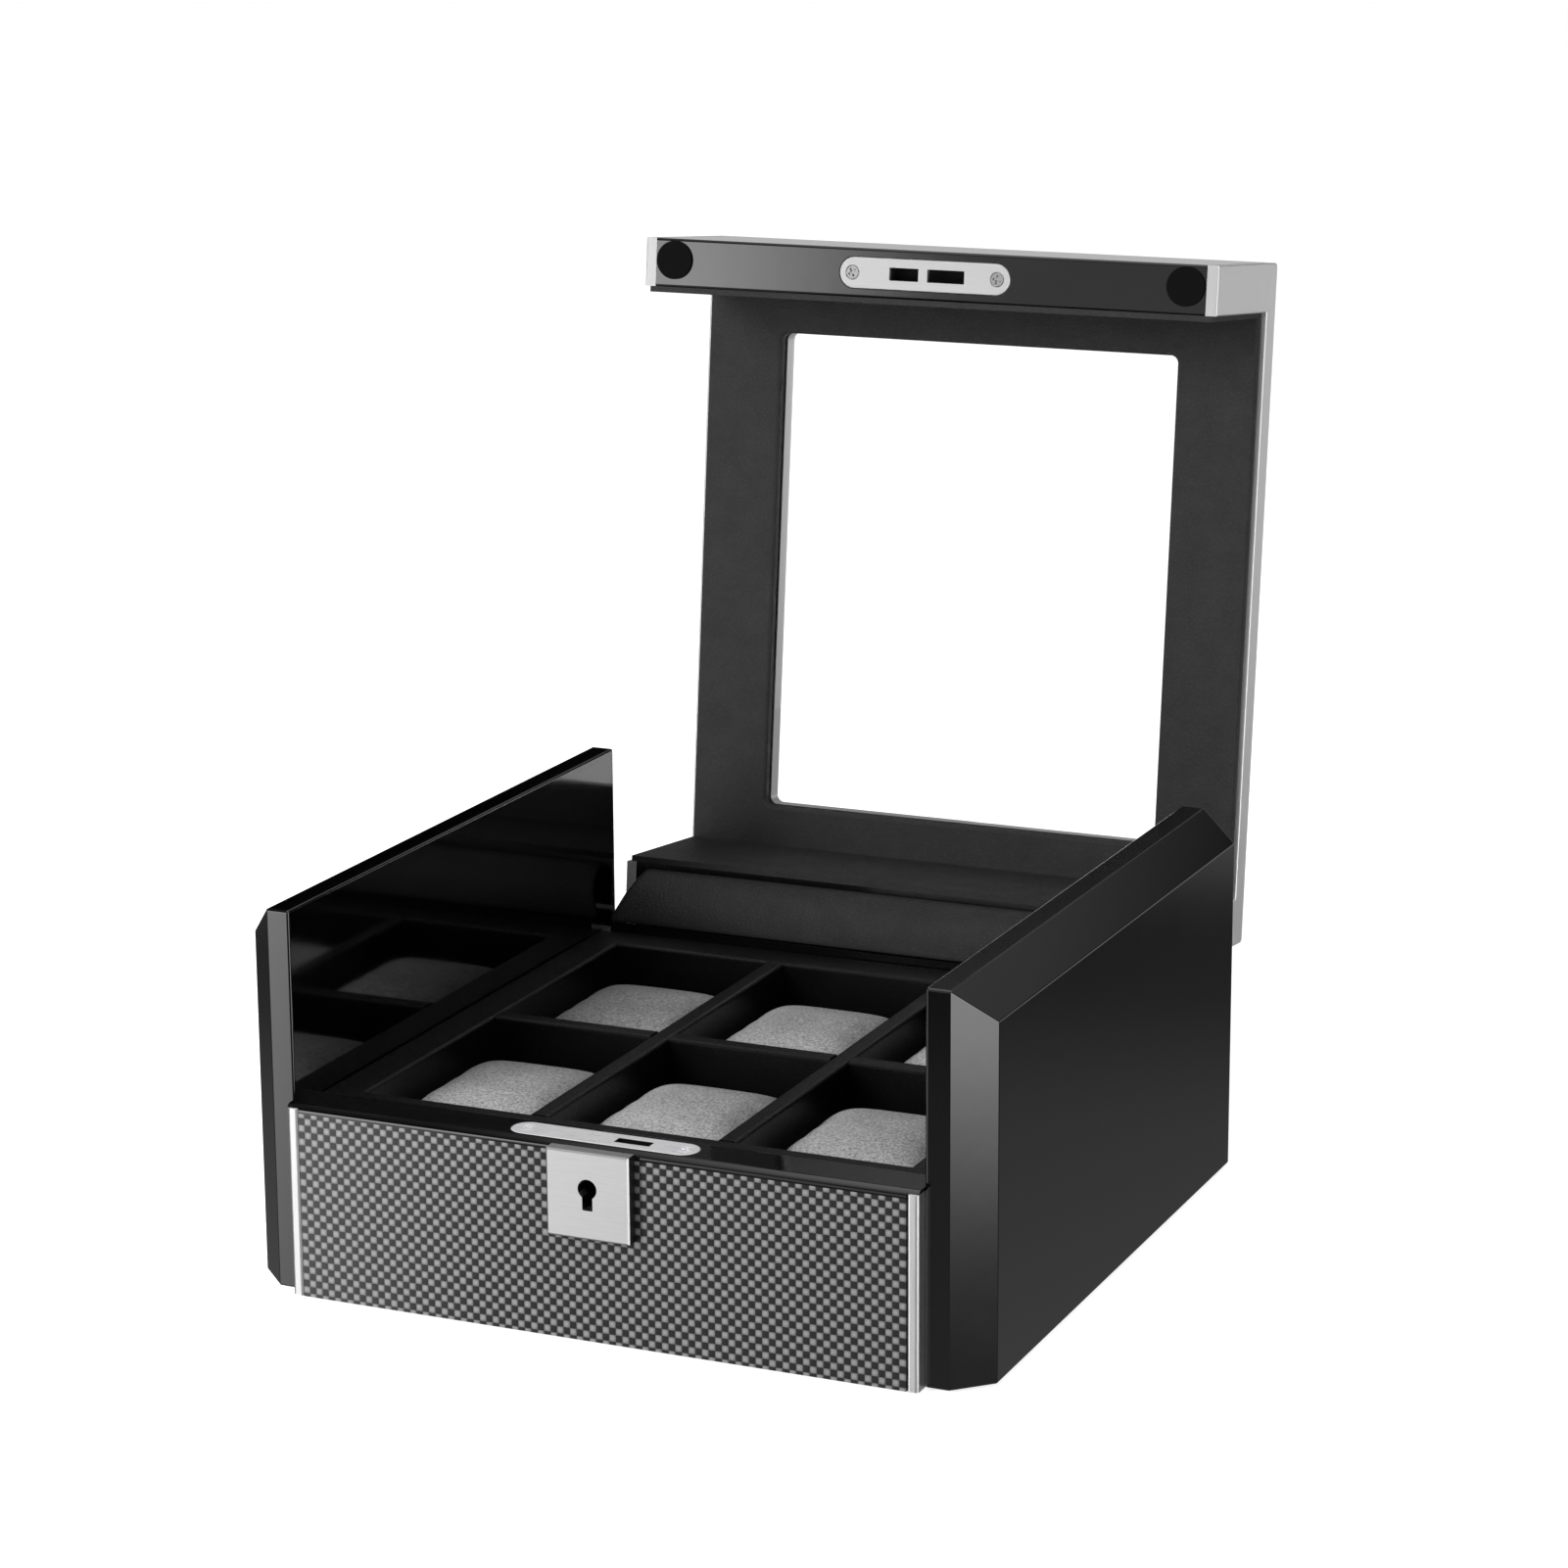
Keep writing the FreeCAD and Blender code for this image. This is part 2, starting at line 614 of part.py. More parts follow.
# Escutcheon: thick square plate with the keyhole
escutcheon = new_body("escutcheon")
plate = box(
    "-escutcheon_size / 2", "escutcheon_top - escutcheon_size",
    "escutcheon_size / 2", "escutcheon_top",
)
outside = ("front_face - escutcheon_thickness", "front_face")
add(escutcheon, "Y", *outside, plate)
soften(escutcheon, "Chamfer", "escutcheon_edge", edges_at(escutcheon, y=outside[0]))
keyhole = disc("0", "key_z", "keyhole_radius")
key_slot = box("-keyhole_slot / 2", "key_z - keyhole_reach", "keyhole_slot / 2", "key_z")
cut(escutcheon, "Y", *outside, keyhole)
cut(escutcheon, "Y", *outside, key_slot)

# Lock case in the front panel's mortise, with a round chamber for the hook
lock_case = new_body("lock_case")
lock_span = ("lock_y - lock_thickness / 2", "lock_y + lock_thickness / 2")
case_outline = box("-lock_half_width", "key_z - lock_depth", "lock_half_width", "plate_under")
add(lock_case, "Y", *lock_span, case_outline)
chamber = ("lock_y - claw_thickness / 2 - claw_gap", "lock_y + claw_thickness / 2 + claw_gap")
cut(lock_case, "Y", *chamber, disc("0", "key_z", "claw_room"))
cut(lock_case, "Y", *lock_span, disc("0", "key_z", "rotor_radius + rotor_gap"))

# Lock face plate on the front panel's top edge
face_plate = new_body("lock_face_plate")
stadium(add, face_plate, "plate_under", "case_top")
soften(face_plate, "Chamfer", "plate_edge", edges_at(face_plate, z="case_top"))
claw_slot = box("face_slot_start", chamber[0], "face_slot_end", chamber[1])
cut(face_plate, "Z", "plate_under", "case_top", claw_slot)
plate_heads = [disc(place, "lock_y", "head_radius") for place in ("-screw_x", "screw_x")]
plate_shanks = [disc(place, "lock_y", "shank_radius") for place in ("-screw_x", "screw_x")]
cut(face_plate, "Z", "case_top - head_height", "case_top", *plate_heads)
cut(face_plate, "Z", "plate_under", "case_top", *plate_shanks)
PLATE_HOLES = [(sign * size("screw_x"), size("lock_y")) for sign in (-1, 1)]
PLATE_HEADS = (size("head_radius"), size("head_height"))
screws("lock_face_screws", PLATE_HOLES, size("case_top"), Vector(0, 0, -1), PLATE_HEADS)

# Key rotor with a keyhole-shaped socket
key_rotor = new_body("key_rotor")
add(key_rotor, "Y", "front_face", "lock_y + lock_thickness / 2", disc("0", "key_z", "rotor_radius"))
cut(key_rotor, "Y", "front_face", "lock_y", keyhole)
cut(key_rotor, "Y", "front_face", "lock_y", key_slot)


def ring_sector(inner, outer, start, end):
    """Flat sector of a ring about the key's axis, with angles up from the right."""
    thick = size("claw_thickness")
    flat = Part.makeCylinder(outer, thick, Vector(0, 0, 0), Vector(0, 0, 1), end - start)
    flat = flat.cut(Part.makeCylinder(inner, thick))
    flat.rotate(Vector(0, 0, 0), Vector(0, 0, 1), start)
    flat.rotate(Vector(0, 0, 0), Vector(1, 0, 0), 90)
    flat.translate(Vector(0, size("lock_y") + thick / 2, size("key_z")))
    return flat


def hook_shape():
    """Hub on the rotor, an arm, and the curved hook that rises through the face plate."""
    rotor = size("rotor_radius")
    hub = size("rotor_radius + claw_hub")
    inner, outer = size("claw_inner"), size("claw_outer")
    arm_start = -size("claw_arm + claw_arm_angle")
    arm_end = -size("claw_arm")
    collar = ring_sector(rotor, hub, 0, 360)
    arm = ring_sector(rotor, outer, arm_start, arm_end)
    hook = ring_sector(inner, outer, arm_start, size("claw_tip"))
    return collar.fuse([arm, hook]).removeSplitter()


solid_piece("hook_claw", hook_shape())

# Lid: metal cheeks, boards, carbon skins, linings and window
lid_outline = [
    ("front_face", "lid_bottom"),
    ("front_inner", "lid_bottom"),
    ("front_inner", "lid_under"),
    ("rear_inner", "lid_under"),
    ("rear_inner", "lid_bottom"),
    ("rear_face", "lid_bottom"),
    ("rear_face", "lid_top"),
    ("front_face", "lid_top"),
]
for side, (low, high) in both_sides("lid_board_half", "lid_half").items():
    cheek = new_body("lid_cheek_" + side, on_lid=True)
    add(cheek, "X", low, high, lid_outline)
    corners = edges_at(cheek, y="front_face", z="lid_top") + edges_at(cheek, y="rear_face", z="lid_top")
    soften(cheek, "Fillet", "lid_radius", corners)
    soften(cheek, "Fillet", "cheek_radius", edges_at(cheek, x=high if side == "right" else low))


def window_box(room):
    across, along = f"window_half + ( {room} )", f"window_end + ( {room} )"
    return box(f"-( {across} )", f"-( {along} )", across, along)


def round_window(body, room):
    """Rounds the four upright corners of a window outline."""
    across, along = f"window_half + ( {room} )", f"window_end + ( {room} )"
    corners = []
    for x in (f"-( {across} )", across):
        for y in (f"-( {along} )", along):
            corners += edges_at(body, x=x, y=y)
    soften(body, "Fillet", f"window_radius + ( {room} )", corners)


def window_rim(body, height):
    """Edges of the window outline at a height."""
    inside = []
    for name in edges_at(body, z=height):
        limits = body.Tip.Shape.getElement(name).BoundBox
        across = max(abs(limits.XMin), abs(limits.XMax))
        along = max(abs(limits.YMin), abs(limits.YMax))
        if across < size("window_half + window_roll") and along < size("window_end + window_roll"):
            inside.append(name)
    return inside


top_board = new_body("lid_top_board", on_lid=True)
sheet_outline = box("-lid_board_half", "front_skin", "lid_board_half", "rear_face")
add(top_board, "Z", "lid_under", "lid_board_top", sheet_outline)
cut(top_board, "Z", "lid_under", "lid_board_top", window_box("bezel_wall"))
round_window(top_board, "bezel_wall")
cut(top_board, "Z", "lid_under", "glass_top", window_box("glass_margin + glass_gap"))

top_skin = new_body("lid_carbon_top", on_lid=True)
add(top_skin, "Z", "lid_board_top", "lid_top", sheet_outline, window_box("bezel_wall"))
round_window(top_skin, "bezel_wall")

front_lip = new_body("lid_front_lip", on_lid=True)
add(front_lip, "X", "-lid_board_half", "lid_board_half", [
    ("front_face", "lid_bottom"),
    ("front_inner", "lid_bottom"),
    ("front_inner", "lid_under"),
    ("front_skin", "lid_under"),
    ("front_skin", "lid_bottom + rail_height"),
    ("front_face", "lid_bottom + rail_height"),
])
for place in ("front_face", "front_inner"):
    soften(front_lip, "Fillet", "lip_radius", edges_at(front_lip, y=place, z="lid_bottom"))
stadium(cut, front_lip, "lid_bottom", "strike_top")
hole_rows = ("lock_y - strike_hole / 2", "lock_y + strike_hole / 2")
claw_well = box(
    "strike_left_start - claw_gap", hole_rows[0],
    "strike_right_end + claw_gap", hole_rows[1],
)
cut(front_lip, "Z", "lid_bottom", "lid_bottom + claw_pocket", claw_well)
cut(front_lip, "Z", "lid_bottom", "lid_bottom + screw_length", *plate_shanks)

lip_skin = new_body("lid_carbon_front", on_lid=True)
skin_outline = box("-lid_board_half", "lid_bottom + rail_height", "lid_board_half", "lid_top")
add(lip_skin, "Y", "front_face", "front_skin", skin_outline)

rear_lip = new_body("lid_rear_lip", on_lid=True)
board = box("rear_inner", "lid_bottom", "rear_face", "lid_under")
add(rear_lip, "X", "-lid_board_half", "lid_board_half", board)
for hinge in ("-hinge_x", "hinge_x"):
    seat = box(
        f"{hinge} - leaf_length / 2", "hinge_y - leaf_reach", f"{hinge} + leaf_length / 2", "rear_face"
    )
    cut(rear_lip, "Z", "lid_bottom", "lid_bottom + leaf_thickness", seat)
    span = (f"{hinge} - leaf_length / 2 - hinge_gap", f"{hinge} + leaf_length / 2 + hinge_gap")
    cut(rear_lip, "X", *span, disc("hinge_y", "hinge_z", "barrel_room"))
    pilots = [
        disc(f"{hinge} + {place}", "hinge_y - leaf_screw_y", "shank_radius")
        for place in ("-leaf_screw_x", "leaf_screw_x")
    ]
    cut(rear_lip, "Z", "lid_bottom", "lid_bottom + screw_length", *pilots)

top_lining = new_body("lid_lining_top", on_lid=True)
lining_outline = box("-lining_half", "front_inner", "lining_half", "rear_inner")
add(top_lining, "Z", "lining_under", "lid_under", lining_outline, window_box("0"))
for place in ("-lining_half", "lining_half"):
    soften(top_lining, "Fillet", "lining_radius", edges_at(top_lining, x=place, z="lining_under"))
round_window(top_lining, "0")
soften(top_lining, "Fillet", "window_roll", window_rim(top_lining, "lining_under"))
for end, low, high in (
    ("front", "front_inner", "front_inner + lip_lining"),
    ("rear", "rear_inner - lip_lining", "rear_inner"),
):
    lining = new_body("lid_lining_" + end, on_lid=True)
    lip_outline = box("-lining_half", "lid_bottom + lining_gap", "lining_half", "lining_under")
    add(lining, "Y", low, high, lip_outline)

bezel = new_body("window_bezel", on_lid=True)
add(bezel, "Z", "glass_top", "lid_top", window_box("bezel_wall"), window_box("0"))
round_window(bezel, "bezel_wall")
round_window(bezel, "0")
glass = new_body("window_glass", on_lid=True)
add(glass, "Z", "lid_under", "glass_top", window_box("glass_margin"))

# Strike plate with two holes for the hook, its screws, and two rubber pads
strike = new_body("strike_plate", on_lid=True)
stadium(add, strike, "lid_bottom", "strike_top")
soften(strike, "Chamfer", "plate_edge", edges_at(strike, z="lid_bottom"))
cut(
    strike, "Z", "lid_bottom", "strike_top",
    box("strike_left_start", hole_rows[0], "strike_left_end", hole_rows[1]),
    box("strike_right_start", hole_rows[0], "strike_right_end", hole_rows[1]),
)
cut(strike, "Z", "lid_bottom", "lid_bottom + head_height", *plate_heads)
cut(strike, "Z", "lid_bottom", "strike_top", *plate_shanks)
screws("strike_screws", PLATE_HOLES, size("lid_bottom"), Vector(0, 0, 1), PLATE_HEADS, on_lid=True)
for side, place in (("left", "-pad_x"), ("right", "pad_x")):
    pad = new_body("bumper_pad_" + side, on_lid=True)
    face = disc(place, "front_face + pad_setback", "pad_radius")
    add(pad, "Z", "lid_bottom - pad_thickness", "lid_bottom", face)

# Check every object, then write each piece
doc.recompute()
for thing in doc.Objects:
    if "Invalid" in thing.State or "Error" in thing.State:
        raise RuntimeError(f"{thing.Label} failed: {thing.State}")
for piece in PIECES:
    if piece.Shape.isNull() or not piece.Shape.isValid():
        raise RuntimeError(f"{piece.Label} has no valid shape")
os.makedirs("parts", exist_ok=True)
for piece in PIECES:
    piece.Shape.exportStep(f"parts/{piece.Label}.step")
print(len(PIECES), "pieces written")
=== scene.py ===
import math
import bmesh
import bpy
from mathutils import Matrix, Vector, noise


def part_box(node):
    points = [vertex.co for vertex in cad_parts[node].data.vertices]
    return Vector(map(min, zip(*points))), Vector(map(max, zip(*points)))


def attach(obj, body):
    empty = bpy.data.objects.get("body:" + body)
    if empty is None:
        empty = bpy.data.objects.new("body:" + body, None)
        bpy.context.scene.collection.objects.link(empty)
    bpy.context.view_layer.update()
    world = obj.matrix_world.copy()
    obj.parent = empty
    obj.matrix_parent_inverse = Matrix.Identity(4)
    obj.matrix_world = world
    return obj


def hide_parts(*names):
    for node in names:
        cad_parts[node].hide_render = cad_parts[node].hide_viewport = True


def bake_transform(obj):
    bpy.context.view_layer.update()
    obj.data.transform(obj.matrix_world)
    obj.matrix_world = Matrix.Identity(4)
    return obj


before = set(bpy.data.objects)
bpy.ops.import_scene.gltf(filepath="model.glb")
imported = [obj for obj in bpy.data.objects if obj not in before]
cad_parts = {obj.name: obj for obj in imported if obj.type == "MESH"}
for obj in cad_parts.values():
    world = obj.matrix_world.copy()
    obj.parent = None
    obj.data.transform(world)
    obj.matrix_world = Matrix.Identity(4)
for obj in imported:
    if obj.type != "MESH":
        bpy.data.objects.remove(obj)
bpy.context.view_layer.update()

# Camera: a long lens from the front right and a little above, where the photograph was taken.
# It looks at a point just behind the middle of the box.
aim = Vector((0.0007, 0.0205, 0.1294))
azimuth, elevation, roll = math.radians(23.945), math.radians(14.2), math.radians(-0.38)
distance = 1.2998
back = Vector((
    math.sin(azimuth) * math.cos(elevation),
    -math.cos(azimuth) * math.cos(elevation),
    math.sin(elevation),
))
level = Vector((math.cos(azimuth), math.sin(azimuth), 0))
upright = back.cross(level)
right = math.cos(roll) * level + math.sin(roll) * upright
up = math.cos(roll) * upright - math.sin(roll) * level
camera = bpy.data.objects.new("camera", bpy.data.cameras.new("camera"))
camera.data.sensor_width = 36
camera.data.lens = 101.78
camera_turn = Matrix((right, up, back)).transposed().to_4x4()
camera.matrix_world = Matrix.Translation(aim + distance * back) @ camera_turn
bpy.context.scene.collection.objects.link(camera)
bpy.context.scene.camera = camera
bpy.context.scene.view_settings.view_transform = "Standard"

# Studio: a pale floor that runs out to white, a soft key from the front left, a soft top light and
# an even fill. A tent round the set gives the lacquer and the metal what they mirror.


def linear(text):
    """sRGB hex as the linear colour that a socket takes."""
    parts = [int(text[k:k + 2], 16) / 255 for k in (1, 3, 5)]
    return [p / 12.92 if p <= 0.04045 else ((p + 0.055) / 1.055) ** 2.4 for p in parts] + [1.0]


def put(tree, kind, sockets=(), **settings):
    """One shader node with its settings; sockets holds values, or other nodes' outputs to link."""
    made = tree.nodes.new("ShaderNode" + kind)
    for name, value in settings.items():
        setattr(made, name, value)
    for socket, value in dict(sockets).items():
        if isinstance(value, bpy.types.NodeSocket):
            tree.links.new(value, made.inputs[socket])
        else:
            made.inputs[socket].default_value = value
    return made


def show(name, bm, material=None, smooth=True):
    """A bmesh as an object at the origin."""
    mesh = bpy.data.meshes.new(name)
    for face in bm.faces:
        face.smooth = smooth
    bm.to_mesh(mesh)
    bm.free()
    piece = bpy.data.objects.new(name, mesh)
    bpy.context.scene.collection.objects.link(piece)
    if material:
        mesh.materials.append(material)
    return piece


def seen_rays(tree):
    """1 for the rays that see the background: from the camera, off gloss and through glass."""
    path = put(tree, "LightPath").outputs
    seen = path["Is Camera Ray"]
    for ray in ("Is Glossy Ray", "Is Transmission Ray"):
        seen = put(tree, "Math", {0: seen, 1: path[ray]}, operation="MAXIMUM").outputs[0]
    return seen


fill_level, floor_lift = 0.20, 0.80
floor_radius, tent_radius = 8, 9
world = bpy.data.worlds.new("studio")
bpy.context.scene.world = world
world.use_nodes = True
tree = world.node_tree
background = tree.nodes["Background"]
background.inputs["Color"].default_value = linear("#ffffff")
strength = put(tree, "MapRange", {0: seen_rays(tree), 3: fill_level, 4: 1.0})
tree.links.new(strength.outputs[0], background.inputs["Strength"])

floor_paper = bpy.data.materials.new("pale paper floor")
floor_paper.use_nodes = True
tree = floor_paper.node_tree
paper = tree.nodes["Principled BSDF"]
paper.inputs["Base Color"].default_value = linear("#f4f4f4")
paper.inputs["Roughness"].default_value = 0.9
paper.inputs["Specular IOR Level"].default_value = 0.0
paper.inputs["Emission Color"].default_value = linear("#ffffff")
lift = put(tree, "Math", {0: seen_rays(tree), 1: floor_lift}, operation="MULTIPLY")
tree.links.new(lift.outputs[0], paper.inputs["Emission Strength"])
bm = bmesh.new()
bmesh.ops.create_circle(bm, cap_ends=True, segments=64, radius=floor_radius)
floor = show("floor", bm, floor_paper)
floor.visible_glossy = False

tent_cloth = bpy.data.materials.new("studio tent")
tent_cloth.use_nodes = True
tent_cloth.cycles.emission_sampling = "NONE"
tree = tent_cloth.node_tree
tree.nodes.remove(tree.nodes["Principled BSDF"])
place = put(tree, "TexCoord").outputs["Object"]
way = put(tree, "VectorMath", {0: place}, operation="NORMALIZE").outputs[0]
along = put(tree, "SeparateXYZ", {0: way}).outputs
sideways, height = along["X"], along["Z"]
flat_way = put(tree, "VectorMath", {0: place, 1: (1, 1, 0)}, operation="MULTIPLY").outputs[0]
flat_way = put(tree, "VectorMath", {0: flat_way}, operation="NORMALIZE").outputs[0]
key_azimuth, card_azimuth = math.radians(43), math.radians(68)
key_way = (-math.sin(key_azimuth), -math.cos(key_azimuth), 0)
card_way = (math.sin(card_azimuth), -math.cos(card_azimuth), 0)
towards_key, towards_card = (
    put(tree, "VectorMath", {0: flat_way, 1: aimed}, operation="DOT_PRODUCT").outputs["Value"]
    for aimed in (key_way, card_way)
)
leaning = put(
    tree, "Math", {0: height, 1: 0.075, 2: towards_key}, operation="MULTIPLY_ADD"
).outputs[0]
softbox = put(tree, "MapRange", {0: leaning, 1: 0.940, 2: 0.962}).outputs[0]
softbox_side = put(
    tree, "MapRange", {0: sideways, 1: -0.68, 2: -0.57, 3: 0.1, 4: 1.0}
).outputs[0]
softbox = put(tree, "Math", {0: softbox, 1: softbox_side}, operation="MULTIPLY").outputs[0]
softbox_level = put(
    tree, "MapRange", {0: height, 1: -0.5, 2: 0.1, 3: 1.7, 4: 3.1}
).outputs[0]
softbox_top = put(
    tree, "MapRange", {0: height, 1: 0.24, 2: 0.06}, interpolation_type="SMOOTHSTEP"
).outputs[0]
card = put(tree, "MapRange", {0: towards_card, 1: 0.945, 2: 0.985}).outputs[0]
card_level = put(tree, "MapRange", {0: height, 1: -0.365, 2: -0.285, 4: 1.6}).outputs[0]
card_level = put(tree, "Math", {0: card_level, 1: 2.0}, operation="POWER").outputs[0]
card_top = put(tree, "MapRange", {0: height, 1: 0.30, 2: 0.10}).outputs[0]
upwards = put(tree, "MapRange", {0: height, 1: -1.0, 2: 1.0}).outputs[0]
walls = put(tree, "ValToRGB", {0: upwards})
ramp = walls.color_ramp
ramp.elements[0].position, ramp.elements[0].color = 0.30, (0.22, 0.22, 0.22, 1)
ramp.elements[1].position, ramp.elements[1].color = 0.95, (1.0, 1.0, 1.0, 1)
for position, grey in (
    (0.345, 0.13), (0.36, 0.06), (0.37, 0.05), (0.395, 0.50), (0.50, 0.55), (0.56, 0.40),
    (0.59, 0.02), (0.64, 0.02), (0.65, 0.04), (0.66, 0.10), (0.675, 0.20), (0.80, 0.50),
):
    ramp.elements.new(position).color = (grey, grey, grey, 1)
dark_corner = put(
    tree, "MapRange", {0: sideways, 1: -0.45, 2: -0.36, 3: 0.1, 4: 1.0}
).outputs[0]
below_corner = put(tree, "MapRange", {0: height, 1: 0.20, 2: 0.10}).outputs[0]
shaded = put(tree, "Math", {0: dark_corner, 1: below_corner}, operation="MAXIMUM").outputs[0]
glow = put(tree, "Math", {0: walls.outputs[0], 1: shaded}, operation="MULTIPLY").outputs[0]
for lit, bright, end in ((softbox, softbox_level, softbox_top), (card, card_level, card_top)):
    lit = put(tree, "Math", {0: lit, 1: bright}, operation="MULTIPLY").outputs[0]
    glow = put(tree, "Math", {0: lit, 1: end, 2: glow}, operation="MULTIPLY_ADD").outputs[0]
emission = put(tree, "Emission", {"Strength": glow}).outputs[0]
mirrored = put(tree, "LightPath").outputs["Glossy Depth"]
mirrored = put(tree, "Math", {0: mirrored, 1: 0.5}, operation="GREATER_THAN").outputs[0]
clear = put(tree, "BsdfTransparent").outputs[0]
cloth = put(tree, "MixShader", {0: mirrored, 1: clear, 2: emission}).outputs[0]
tree.links.new(cloth, tree.nodes["Material Output"].inputs["Surface"])
bm = bmesh.new()
bmesh.ops.create_icosphere(bm, subdivisions=4, radius=tent_radius)
tent = show("tent", bm, tent_cloth)
for rays in ("camera", "diffuse", "volume_scatter", "shadow"):
    setattr(tent, "visible_" + rays, False)

lamp_aim = Vector((0, 0.02, 0.08))
for name, spot, side, power in (
    ("key softbox", (-0.75, -1.4, 0.85), 0.8, 46),
    ("top softbox", (0.1, -0.6, 1.6), 1.2, 3),
    ("right card", (1.3, -0.7, 0.6), 0.8, 5),
):
    lamp = bpy.data.lights.new(name, "AREA")
    lamp.shape = "SQUARE"
    lamp.size = side
    lamp.energy = power
    softlight = bpy.data.objects.new(name, lamp)
    lamp_turn = (Vector(spot) - lamp_aim).to_track_quat("Z", "Y")
    softlight.matrix_world = Matrix.Translation(spot) @ lamp_turn.to_matrix().to_4x4()
    softlight.visible_glossy = softlight.visible_transmission = False
    bpy.context.scene.collection.objects.link(softlight)

# Side panels, boards and lips: fibreboard sprayed with black polyester lacquer, cut back and
# polished like a piano. It gives deep black, sharp mirror images and a trace of orange peel.


def new_finish(name, sockets):
    """A material with its shader's plain sockets set, its tree, shader and Object coordinates."""
    material = bpy.data.materials.new(name)
    material.use_nodes = True
    tree = material.node_tree
    shader = tree.nodes["Principled BSDF"]
    for socket, value in sockets.items():
        shader.inputs[socket].default_value = value
    return material, tree, shader, put(tree, "TexCoord").outputs["Object"]


def dress(material, *names):
    """Gives CAD nodes a material."""
    for name in names:
        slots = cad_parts[name].data.materials
        slots.clear()
        slots.append(material)


def within_box(tree, place, middle, half, turn=0.0):
    """1 inside a box given by its middle and half sizes, turned about X."""
    offset = put(tree, "VectorMath", {0: place, 1: middle}, operation="SUBTRACT").outputs[0]
    offset = put(
        tree, "VectorRotate", {"Vector": offset, "Angle": turn}, rotation_type="X_AXIS"
    ).outputs[0]
    scale = [1 / part for part in half]
    offset = put(tree, "VectorMath", {0: offset, 1: scale}, operation="MULTIPLY").outputs[0]
    offset = put(tree, "VectorMath", {0: offset}, operation="ABSOLUTE").outputs[0]
    along = put(tree, "SeparateXYZ", {0: offset}).outputs
    widest = put(tree, "Math", {0: along["X"], 1: along["Y"]}, operation="MAXIMUM").outputs[0]
    widest = put(tree, "Math", {0: widest, 1: along["Z"]}, operation="MAXIMUM").outputs[0]
    return put(tree, "Math", {0: widest, 1: 1.0}, operation="LESS_THAN").outputs[0]


lacquer, tree, shader, place = new_finish(
    "black piano lacquer", {"IOR": 1.5, "Specular IOR Level": 1.0}
)
haze = put(tree, "TexNoise", {"Vector": place, "Scale": 1 / 0.035, "Detail": 3.0}).outputs[0]
black = put(
    tree, "Mix", {0: haze, 6: linear("#010101"), 7: linear("#030303")}, data_type="RGBA"
).outputs[2]
tree.links.new(black, shader.inputs["Base Color"])
polish = put(tree, "MapRange", {0: haze, 1: 0.3, 2: 0.7, 3: 0.045, 4: 0.085}).outputs[0]
lid_angle = math.radians(96.2)
hinge = Vector((0, 0.1080, 0.0582))
lid_turn = Matrix.Rotation(-lid_angle, 4, "X")
opened = Matrix.Translation(hinge) @ lid_turn @ Matrix.Translation(-hinge)
well_middle = opened @ Vector((0.0008, -0.0999, 0.0633))  # the lip's pocket for the hook
well_half = Vector((0.0160, 0.0021, 0.0034))
raw = within_box(tree, place, well_middle, well_half, lid_angle)
surface = put(tree, "Mix", {0: raw, 2: polish, 3: 0.95}).outputs[0]
tree.links.new(surface, shader.inputs["Roughness"])
peel = put(tree, "TexNoise", {"Vector": place, "Scale": 1 / 0.006, "Detail": 1.0}).outputs[0]
ripple = put(tree, "Bump", {"Strength": 0.02, "Distance": 0.0002, "Height": peel})
tree.links.new(ripple.outputs[0], shader.inputs["Normal"])
dress(
    lacquer, "side_panel_left", "side_panel_right", "front_panel", "back_panel",
    "lid_front_lip", "lid_rear_lip", "lid_top_board",
)

# Base board and tray floor: medium fibreboard stained black and glued in, with a felt pad glued
# under the base. The board is dull with short fibres, and the felt is a soft dark tangle.
fibreboard, tree, shader, place = new_finish("black stained fibreboard", {"Roughness": 0.8})
fibres = put(
    tree, "TexNoise", {"Vector": place, "Scale": 1 / 0.0016, "Detail": 8.0, "Roughness": 0.7}
).outputs[0]
stain = put(
    tree, "Mix", {0: fibres, 6: linear("#0d0c0b"), 7: linear("#2a2724")}, data_type="RGBA"
).outputs[2]
tree.links.new(stain, shader.inputs["Base Color"])
rough = put(tree, "Bump", {"Strength": 0.4, "Distance": 0.0003, "Height": fibres})
tree.links.new(rough.outputs[0], shader.inputs["Normal"])
dress(fibreboard, "base_panel", "tray_floor")

felt, tree, shader, place = new_finish(
    "black felt", {"Roughness": 1.0, "Sheen Weight": 0.4, "Sheen Roughness": 0.6}
)
tangle = put(
    tree, "TexNoise", {"Vector": place, "Scale": 1 / 0.0011, "Detail": 10.0, "Roughness": 0.8}
).outputs[0]
wool = put(
    tree, "Mix", {0: tangle, 6: linear("#080808"), 7: linear("#26262a")}, data_type="RGBA"
).outputs[2]
tree.links.new(wool, shader.inputs["Base Color"])
nap = put(tree, "Bump", {"Strength": 0.9, "Distance": 0.0005, "Height": tangle})
tree.links.new(nap.outputs[0], shader.inputs["Normal"])
dress(felt, "base_felt")

# Carbon skins: plain-woven cloth under clear resin, glued to the front panel and the lid's outside.
# Upright tows are painted light and level ones dark, as painted highlight and shade, and each tow
# has a painted highlight across its middle, so it reads as small grey checks.
tow = 0.0020


